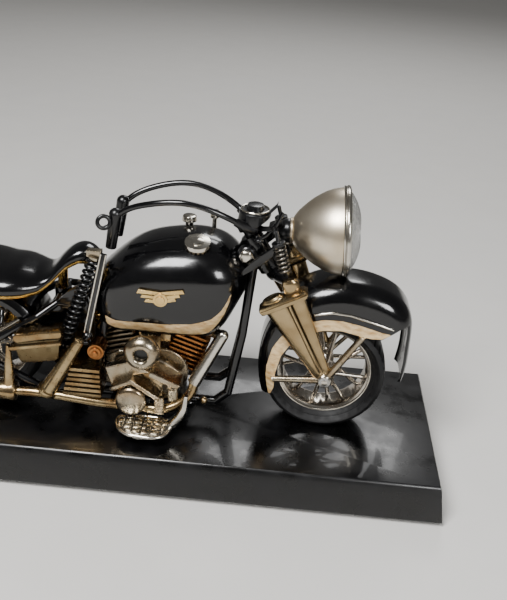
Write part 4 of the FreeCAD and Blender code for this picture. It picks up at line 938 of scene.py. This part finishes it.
@dataclass
class Headlamp:
    """Bullet lamp with ribbed bezel, fluted lens, neck ball and arm."""

    seam: tuple[float, float, float] = (69.8, 0.0, 101.0)
    tilt_deg: float = 4.0
    flutes: int = 30

    def build(self) -> None:
        """Turn the shell, bezel, lens and neck."""
        tilt = math.radians(self.tilt_deg)
        along = Vector((math.cos(tilt), 0.0, math.sin(tilt)))
        shell = turned("lamp_bullet_shell", [
            (-19.4, 0.0), (-19.3, 3.0), (-18.9, 4.7), (-18.0, 6.2), (-16.6, 7.9), (-15.0, 9.4), (-13.0, 11.1),
            (-11.0, 12.6), (-8.5, 14.1), (-6.0, 15.3), (-3.5, 16.1), (-1.0, 16.5), (0.0, 16.6), (0.0, 15.6),
            (-5.6, 14.3), (-10.4, 11.6), (-14.4, 8.4), (-17.2, 4.8), (-17.8, 0.0)], self.seam, along, 96, 0.0, 50.0)
        dress(shell, LAMP_PEWTER, Body.STEERING, "lamp_shell")
        bezel = turned("lamp_ribbed_bezel", [
            (-0.2, 14.2), (-0.2, 16.9), (0.1, 17.3), (0.5, 17.4), (0.8, 17.1), (1.0, 17.1), (1.2, 17.4), (1.7, 17.5),
            (2.2, 17.3), (2.6, 16.7), (2.7, 15.6), (2.5, 14.8), (1.0, 14.8), (1.0,
                    14.2)], self.seam, along, 96, 0.0, 40.0)
        dress(bezel, BRIGHT_SILVER, Body.STEERING, "lamp_bezel")
        self.lens(along)
        finer("lamp_reflector_bowl", "lamp_reflector", BRIGHT_SILVER, Body.STEERING, 0.1)
        finer("lamp_support_arm", "lamp_arm", SATIN_BLACK, Body.STEERING, 0.3, 3)
        collar = turned("lamp_neck_collar", ring_profile(-19.3, 4.2, 0.7), self.seam, along, 48)
        dress(collar, LAMP_PEWTER, Body.STEERING)
        neck = turned("lamp_neck_ball", [(-22.6, 0.0), (-22.4, 1.8), (-21.6, 3.0), (-20.4, 3.7), (-19.2, 3.6), (-18.6,
                3.0),
                                         (-18.6, 0.0)], self.seam, along, 48, 0.0, 60.0)
        dress(neck, LAMP_PEWTER, Body.STEERING)

    def lens(self, along: Vector) -> None:
        """Press the fluted lens."""
        profile = [(1.2, 12.6), (1.2, 14.75), (2.7, 14.75), (3.7, 13.2), (4.7, 11.4), (5.5, 9.2), (6.1, 6.8), (6.5,
                3.6),
                   (6.6, 0.0), (5.6, 0.0), (5.0, 6.4), (3.4, 10.8), (1.8, 12.5)]
        lens = turned("lamp_fluted_lens", profile, self.seam, along, 2 * self.flutes, 0.0, 60.0)
        centre = Vector(self.seam) * MM
        level = Vector((0.0, 1.0, 0.0))
        up = along.cross(level)
        for vertex in lens.data.vertices:
            arm = vertex.co - centre
            radius = math.hypot(arm.dot(level), arm.dot(up)) / MM
            if arm.dot(along) > 2.65 * MM and 5.0 < radius < 14.9:
                angle = math.atan2(arm.dot(up), arm.dot(level))
                vertex.co += along * (0.42 * math.cos(self.flutes * angle) * MM)
        dress(lens, CLEAR_GLASS, Body.STEERING, "lamp_lens")


@dataclass
class Controls:
    """Handlebar, grips, round instrument, lever, gusset and bolts round the steering head."""


    def build(self) -> None:
        """Build everything the rider holds."""
        finer("swept_handlebar", "handlebar", GLOSS_BLACK, Body.STEERING, 0.0)
        finer("hand_grips", "grips", SATIN_BLACK, Body.STEERING, 0.2)
        drum = refined("speed_drum_body", "speed_drum", 0.3, 3)
        dress(drum, SATIN_BLACK, Body.STEERING, "speed_drum")
        dial = turned("speed_drum_ring", ring_profile(0.0, 5.2, 0.35), (36.2, 0.0, 106.9), UP, 48)
        dress(dial, BRIGHT_SILVER, Body.STEERING)
        for side, label in ((-1, "right"), (1, "left")):
            stub = spindle(f"bar_clamp_{label}", [((38.0, side * 3.6, 99.4), 0.0), ((37.4, side * 3.8, 99.7), 1.9),
                                                  ((33.0, side * 5.6, 101.4), 2.0), ((29.4, side * 7.5, 103.9), 1.5),
                                                  ((29.2, side * 7.6, 104.0), 0.0)])
            dress(stub, SATIN_BLACK, Body.STEERING)
            boss = turned(f"head_boss_{label}", [(0.0, 0.0), (0.0, 3.9), (2.6, 3.7), (3.2, 3.0), (3.2, 0.0)],
                          (34.6, side * 2.6, 89.6), ACROSS * side, 32, 0.2)
            dress(boss, SATIN_BLACK, Body.BASE)
            nut = turned(f"head_nut_{label}", [(0.0, 0.0), (0.0, 3.1), (1.5, 3.1), (2.1, 2.4), (2.4, 1.2), (2.4, 0.0)],
                         (34.4, side * 5.6, 89.7), ACROSS * side, 6, 0.25, 20.0)
            dress(nut, BRIGHT_SILVER, Body.BASE)
            blade = plate(f"steering_gusset_{label}", [(31.6, 83.4), (33.2, 82.6), (41.0, 88.6), (48.8, 96.4), (48.2,
                    98.4),
                                                      (44.6, 96.6), (38.0, 90.6)], side * 8.6, side * 9.8, 0.4)
            dress(blade, BLACK_STEEL, Body.STEERING)
        lever = tube("brake_lever", [(46.6, -8.0, 109.4), (44.6, -8.4, 104.6), (41.6, -8.6, 100.4), (39.0, -8.4, 98.2)],
                     [0.7, 0.9, 0.9, 0.8])
        knob = turned("lever_knob", ring_profile(0.0, 0.9, 0.85, 12), (38.7, -8.4, 97.8), UP, 24)
        dress(joined("brake_lever", [lever, knob]), BLACK_STEEL, Body.STEERING)


@dataclass
class Tank:
    """Teardrop tank with a gold band, plain badges, filler cap and knobs."""

    band_low: Outline = ((-20.6, 56.6), (-15, 54.6), (-6, 54.6), (6, 54.8), (16, 54.8), (24, 57.0), (29, 64.4), (34,
            74.6))
    band_high: Outline = ((-20.8, 63.0), (-15, 62.0), (-6, 62.4), (6, 63.4), (16, 64.8), (24, 67.6), (29, 71.6),
                          (34.6, 78.2))
    band_y: float = 21.0
    cap_base: tuple[float, float, float] = (16.0, -9.0, 91.4)
    cap_lean_deg: float = 15.0

    def build(self) -> None:
        """Dress the tank and lay its band."""
        tank = refined("teardrop_tank", "tank", 0.4, 3)
        dress(tank, GLOSS_BLACK, Body.BASE, "tank")
        for side, label in ((-1, "right"), (1, "left")):
            band = ribbon(f"tank_gold_band_{label}", self.band_low, self.band_high, side * self.band_y, tank)
            dress(band, CREAM_GOLD, Body.BASE)
        finer("tank_plain_badges", "tank_badges", BRIGHT_GOLD, Body.BASE, 0.25, 3)
        finer("far_side_knobs", "tank_knobs", BRIGHT_SILVER, Body.BASE, 0.25)
        lean = math.radians(self.cap_lean_deg)
        axis = Vector((0.0, -math.sin(lean), math.cos(lean)))
        base = Vector(self.cap_base)
        cap = refined("filler_cap_skirt", "filler_cap", 0.15)
        top = split_off(cap, "filler_cap_top", lambda place: (place - base).dot(axis) > 3.3)
        dress(cap, DARK_FINS, Body.BASE, "filler_cap")
        dress(top, BRIGHT_SILVER, Body.BASE, "filler_cap")
        boss = turned("filler_cap_boss", [(4.3, 0.0), (4.3, 2.6), (4.9, 2.5), (5.2, 1.8), (5.3, 0.0)], self.cap_base,
                      axis, 40)
        dress(boss, BRIGHT_SILVER, Body.BASE)


@dataclass
class SprungSeat:
    """Saddle with its brass rim, and the coil strut beside it."""

    foot: tuple[float, float, float] = (-34.2, -14.0, 50.2)
    head: tuple[float, float, float] = (-21.6, -14.0, 87.2)

    def build(self) -> None:
        """Dress the saddle and build the strut."""
        saddle = refined("saddle_leather_top", "saddle", 0.6, 4)
        modified(saddle, "SMOOTH", factor=0.5, iterations=3)
        dress(saddle, SADDLE_BLACK, Body.SEAT, "saddle")
        finer("saddle_brass_rim", "saddle_pan", BRASS, Body.SEAT, 0.3)
        finer("strut_upper_plate", "strut_head", PEWTER, Body.SEAT, 0.4, 3)
        coil = refined("strut_coil", "strut_spring", 0.0)
        dress(coil, BLACK_STEEL, Body.BASE, "strut_spring")
        low, high = Vector(self.foot), Vector(self.head)
        core = spindle("strut_core_rod", [(low, 0.0), (low.lerp(high, 0.01), 1.1), (low.lerp(high, 0.87), 1.1),
                                          (low.lerp(high, 0.88), 0.0)])
        dress(core, SATIN_BLACK, Body.BASE)
        link = refined("strut_foot_link", "strut_foot", 0.15)
        bar = split_off(link, "strut_flat_bar", lambda place: place.z > 56.4)
        dress(link, BLACK_STEEL, Body.BASE, "strut_foot")
        dress(bar, BLACK_STEEL, Body.BASE, "strut_foot")
        # Painted highlights: two thin silver rods along the flat bar's sides stand for light catching its edges.
        edges = [tube("bar_edge_highlight", [(-24.6 + dx, -17.2, 56.6), (-17.7 + dx, -17.95, 90.4)], 0.34, straight=True)
                 for dx in (-1.0, 1.0)]
        dress(joined("strut_bar_edge_highlights", edges), BRIGHT_SILVER, Body.BASE)


@dataclass
class Engine:
    """Twin engine: finned barrels and soft cast cases and covers."""

    air_centre: tuple[float, float, float] = (-2.2, 0.0, 52.8)
    timing_centre: tuple[float, float, float] = (-6.3, 0.0, 30.6)

    def build(self) -> None:
        """Cast the cases and turn the round covers."""
        for node in ("crankcase", "casing_arm", "rear_hood", "front_hood"):
            dress(softened(f"{node}_casting", node, 0.26, 4), PEWTER, Body.BASE, node)
        finer("front_barrel", "front_cylinder", COPPER, Body.BASE, 0.2)
        finer("rear_barrel", "rear_cylinder", DARK_FINS, Body.BASE, 0.2)
        finer("carburettor_body", "carburettor", OLD_GOLD, Body.BASE, 0.4, 3)
        finer("kick_start_boss", "kick_boss", COPPER, Body.BASE, 0.3, 3)
        cleaner = turned("air_cleaner_ring", [
            (20.4, 0.0), (20.4, 6.2), (21.2, 7.0), (22.2, 7.2), (23.4, 6.9), (24.6, 6.1), (25.4, 5.0), (25.7, 3.9),
            (25.3, 3.0), (24.6, 2.6), (22.6, 2.5), (22.4, 0.0)], self.air_centre, -ACROSS, 56, 0.0, 50.0)
        dress(cleaner, PEWTER, Body.BASE, "air_cleaner")
        mouth = turned("air_cleaner_mouth", [(22.5, 0.0), (22.5, 2.5), (22.7, 2.5), (22.7, 0.0)], self.air_centre,
                       -ACROSS, 32)
        dress(mouth, SATIN_BLACK, Body.BASE)
        cover = turned("timing_dome", [
            (15.6, 0.0), (15.6, 3.0), (20.6, 3.0), (21.2, 5.2), (21.8, 6.0), (22.6, 6.3), (23.4, 6.1), (24.0, 5.4),
            (24.3, 4.6), (24.5, 3.0), (24.6, 0.0)], self.timing_centre, -ACROSS, 56, 0.0, 40.0)
        dress(cover, PEWTER, Body.BASE, "timing_cover")


@dataclass
class Pipework:
    """Exhausts, cooler, tool box and footboards on the right side."""

    upper_tier: Outline = (
        (-51.4, 52.8), (-51.8, 55.0), (-50.6, 56.8), (-46.0, 57.0), (-42.0, 58.2), (-37.0, 59.0), (-33.8, 59.8),
        (-32.8, 58.8), (-32.6, 57.0), (-34.0, 56.2), (-38.0, 55.6), (-44.0, 54.2), (-50.0, 52.6))
    lower_tier: Outline = ((-53.4, 49.4), (-53.2, 50.8), (-43.0, 53.0), (-33.4, 55.0), (-32.8, 53.6), (-42.0, 51.4),
                           (-52.4, 49.0))
    bin_outline: Outline = ((-51.6, 50.0), (-50.0, 44.4), (-48.8, 43.2), (-36.0, 45.6), (-34.4, 46.8), (-33.8, 55.8),
                            (-50.2, 52.8))
    board_edge: Outline = ((-11.0, -27.0), (-10.8, -22.6), (-8.6, -21.8), (7.6, -21.8), (9.6, -24.0), (9.6, -30.2),
                           (6.6, -33.6), (-1.4, -34.2), (-7.4, -32.6))
    board_z: float = 22.3

    def build(self) -> None:
        """Dress the pipes, boxes and boards."""
        finer("long_exhaust", "exhaust_pipe", OLD_GOLD, Body.BASE, 0.0)
        finer("front_stack", "header_pipe", BRIGHT_SILVER, Body.BASE, 0.0)
        finer("tail_silencer", "silencer", OLD_GOLD, Body.BASE, 0.3, 3)
        finer("slanted_stub_pipe", "rear_stub", OLD_GOLD, Body.BASE, 0.3)
        finer("finned_cooler", "cooler_block", OLD_GOLD, Body.BASE, 0.35, 3)
        self.tool_box()
        finer("tread_boards", "footboards", BRIGHT_SILVER, Body.BASE, 0.15)
        rim = tube("board_rim_right", [(x, y, self.board_z) for x, y in self.board_edge], 0.75, closed=True)
        dress(other_side(rim, "board_rim_left"), BRIGHT_SILVER, Body.BASE)
        dress(rim, BRIGHT_SILVER, Body.BASE)
        step = turned("ball_step", [(-1.6, 0.0), (-1.3, 0.9), (-0.8, 1.4), (0.0, 1.6), (0.8, 1.4), (1.3, 0.9), (1.6,
                0.0)],
                      (21.8, -14.0, 28.2), steps=24, angle_deg=60.0)
        dress(step, OLD_GOLD, Body.BASE)

    def tool_box(self) -> None:
        """Shape the two bright tiers, the box under them in a darker gold that paints the shade beneath the tiers, and
        its bracket.
        """
        upper = plate("tool_box_upper_tier", self.upper_tier, -24.0, -18.0, 0.9)
        strip = plate("tool_box_lower_tier", self.lower_tier, -24.2, -18.0, 0.5)
        dress(joined("tool_box_tiers", [upper, strip]), OLD_GOLD, Body.BASE, "tool_box")
        bin_piece = plate("tool_box_bin", self.bin_outline, -22.8, -18.4, 0.6)
        bracket = block("tool_box_bracket", (-47.0, -18.4, 54.6), (-43.0, -14.4, 57.2), 0.4)
        dress(joined("tool_box_bin", [bin_piece, bracket]), PAINTED_SHADE_GOLD, Body.BASE, "tool_box")


@dataclass
class Clockwork:
    """Brass plates with their dark guard; the gear train, mainspring and key are dressed with the plain parts."""

    guard_y: float = -7.1
    guard_z: float = 56.2

    def build(self) -> None:
        """Dress the movement."""
        plates = refined("movement_plates", "clock_plates", 0.15)
        guard = split_off(plates, "movement_guard", lambda place: place.y < self.guard_y and place.z > self.guard_z)
        dress(plates, DARKENED_BRASS, Body.BASE, "clock_plates")
        dress(guard, GLOSS_BLACK, Body.BASE, "clock_plates")


@dataclass
class PlainParts:
    """Parts whose design shape is kept and only refined and finished."""

    ease_mm: float = 0.2

    def build(self) -> None:
        """Refine and dress every listed node."""
        for body, nodes in PARTS.items():
            for node, finish in nodes.items():
                finer(node + "_fine", node, finish, body, self.ease_mm)


PARTS = {
    Body.BASE: {
        "plinth": PLINTH_BLACK, "plinth_feet": FOOT_RUBBER, "mount_screws": STEEL, "frame": BLACK_STEEL,
        "rear_axle": STEEL, "rear_fender": GLOSS_BLACK, "tail_lamp": BRIGHT_SILVER, "tail_lens": RED_GLASS,
    },
    Body.REAR_ROLLER: {"rear_gear": BRASS},
    Body.IDLER: {"idler_gear": BRASS},
    Body.DRIVE: {"drive_arbor": BRASS},
    Body.GREAT: {"great_wheel": BRASS, "mainspring": STEEL},
    Body.WINDER: {"winding_arbor": STEEL, "winding_key": BRIGHT_SILVER},
}


ASSEMBLIES = (
    PlainParts(),
    Roller("front", FRONT_X, Body.FRONT_ROLLER),
    Roller("rear", REAR_X, Body.REAR_ROLLER),
    Fork(), FrontFender(), Headlamp(), Controls(), Tank(), SprungSeat(), Engine(), Pipework(), Clockwork(),
)


# ---- studio ----------------------------------------------------------------------------------
@dataclass
class Studio:
    """Pale floor, soft lights and the camera."""

    floor_half_m: float = 6.0
    camera_place_mm: tuple[float, float, float] = (47.0, -302.0, 223.0)
    heading_deg: float = 1.67
    dip_deg: float = 27.09
    roll_deg: float = 4.59
    lens_mm: float = 51.36
    sensor_mm: float = 36.0

    def build(self) -> None:
        """Set out the floor, lights and camera."""
        self.floor()
        self.sky()
        self.softbox("key_softbox", (-0.22, -0.42, 0.72), (0.0, 0.0, 0.05), 0.30, 12.0)
        self.softbox("front_softbox", (0.62, -0.70, 0.50), (0.03, 0.0, 0.05), 0.28, 6.5)
        self.softbox("rear_softbox", (0.15, 0.80, 0.75), (0.0, 0.0, 0.06), 0.35, 3.5)
        self.camera()

    def floor(self) -> None:
        """Lay the plain pale floor."""
        deselect()
        bpy.ops.mesh.primitive_grid_add(x_subdivisions=8, y_subdivisions=8, size=2 * self.floor_half_m)
        floor = bpy.context.object
        floor.name = "floor"
        paper = bpy.data.materials.new("pale_paper")
        paper.use_nodes = True
        tree = paper.node_tree
        shader = tree.nodes["Principled BSDF"]
        fibre = noise(tree, 30.0, 2.0)
        tree.links.new(blended(tree, fibre, "#c9c7c3", "#cfcdc9"), shader.inputs["Base Color"])
        shader.inputs["Roughness"].default_value = 0.85
        floor.data.materials.append(paper)

    def sky(self) -> None:
        """Light the room softly and evenly."""
        world = bpy.data.worlds.new("room")
        world.use_nodes = True
        room = world.node_tree.nodes["Background"]
        room.inputs["Color"].default_value = linear("#e9e8e6")
        room.inputs["Strength"].default_value = 0.16
        bpy.context.scene.world = world

    def softbox(self, name: str, place: Place, aim: Place, side: float, power: float) -> None:
        """Hang a square softbox at a place in metres, aimed at another."""
        lamp = bpy.data.lights.new(name, "AREA")
        lamp.shape = "SQUARE"
        lamp.size = side
        lamp.energy = power
        holder = bpy.data.objects.new(name, lamp)
        bpy.context.scene.collection.objects.link(holder)
        holder.location = place
        holder.rotation_euler = (Vector(aim) - Vector(place)).to_track_quat("-Z", "Y").to_euler()

    def camera(self) -> None:
        """Stand the camera before the machine's right side."""
        heading, dip, roll = (math.radians(a) for a in (self.heading_deg, self.dip_deg, self.roll_deg))
        ahead = Vector((-math.sin(heading) * math.cos(dip), math.cos(heading) * math.cos(dip), -math.sin(dip)))
        level = Vector((math.cos(heading), math.sin(heading), 0.0))
        down = ahead.cross(level)
        right = math.cos(roll) * level - math.sin(roll) * down
        lower = math.sin(roll) * level + math.cos(roll) * down
        data = bpy.data.cameras.new("camera")
        data.lens = self.lens_mm
        data.sensor_width = self.sensor_mm
        camera = bpy.data.objects.new("camera", data)
        bpy.context.scene.collection.objects.link(camera)
        turn = Matrix((right, -lower, -ahead)).transposed().to_4x4()
        camera.matrix_world = Matrix.Translation(Vector(self.camera_place_mm) * MM) @ turn
        bpy.context.scene.camera = camera


def main() -> None:
    """Build every sub-assembly in order, then the studio."""
    logging.basicConfig(level=logging.INFO, format="%(message)s")
    for assembly in ASSEMBLIES:
        LOG.info("-- %s", type(assembly).__name__)
        assembly.build()
    Studio().build()


if __name__ == "__main__":
    main()
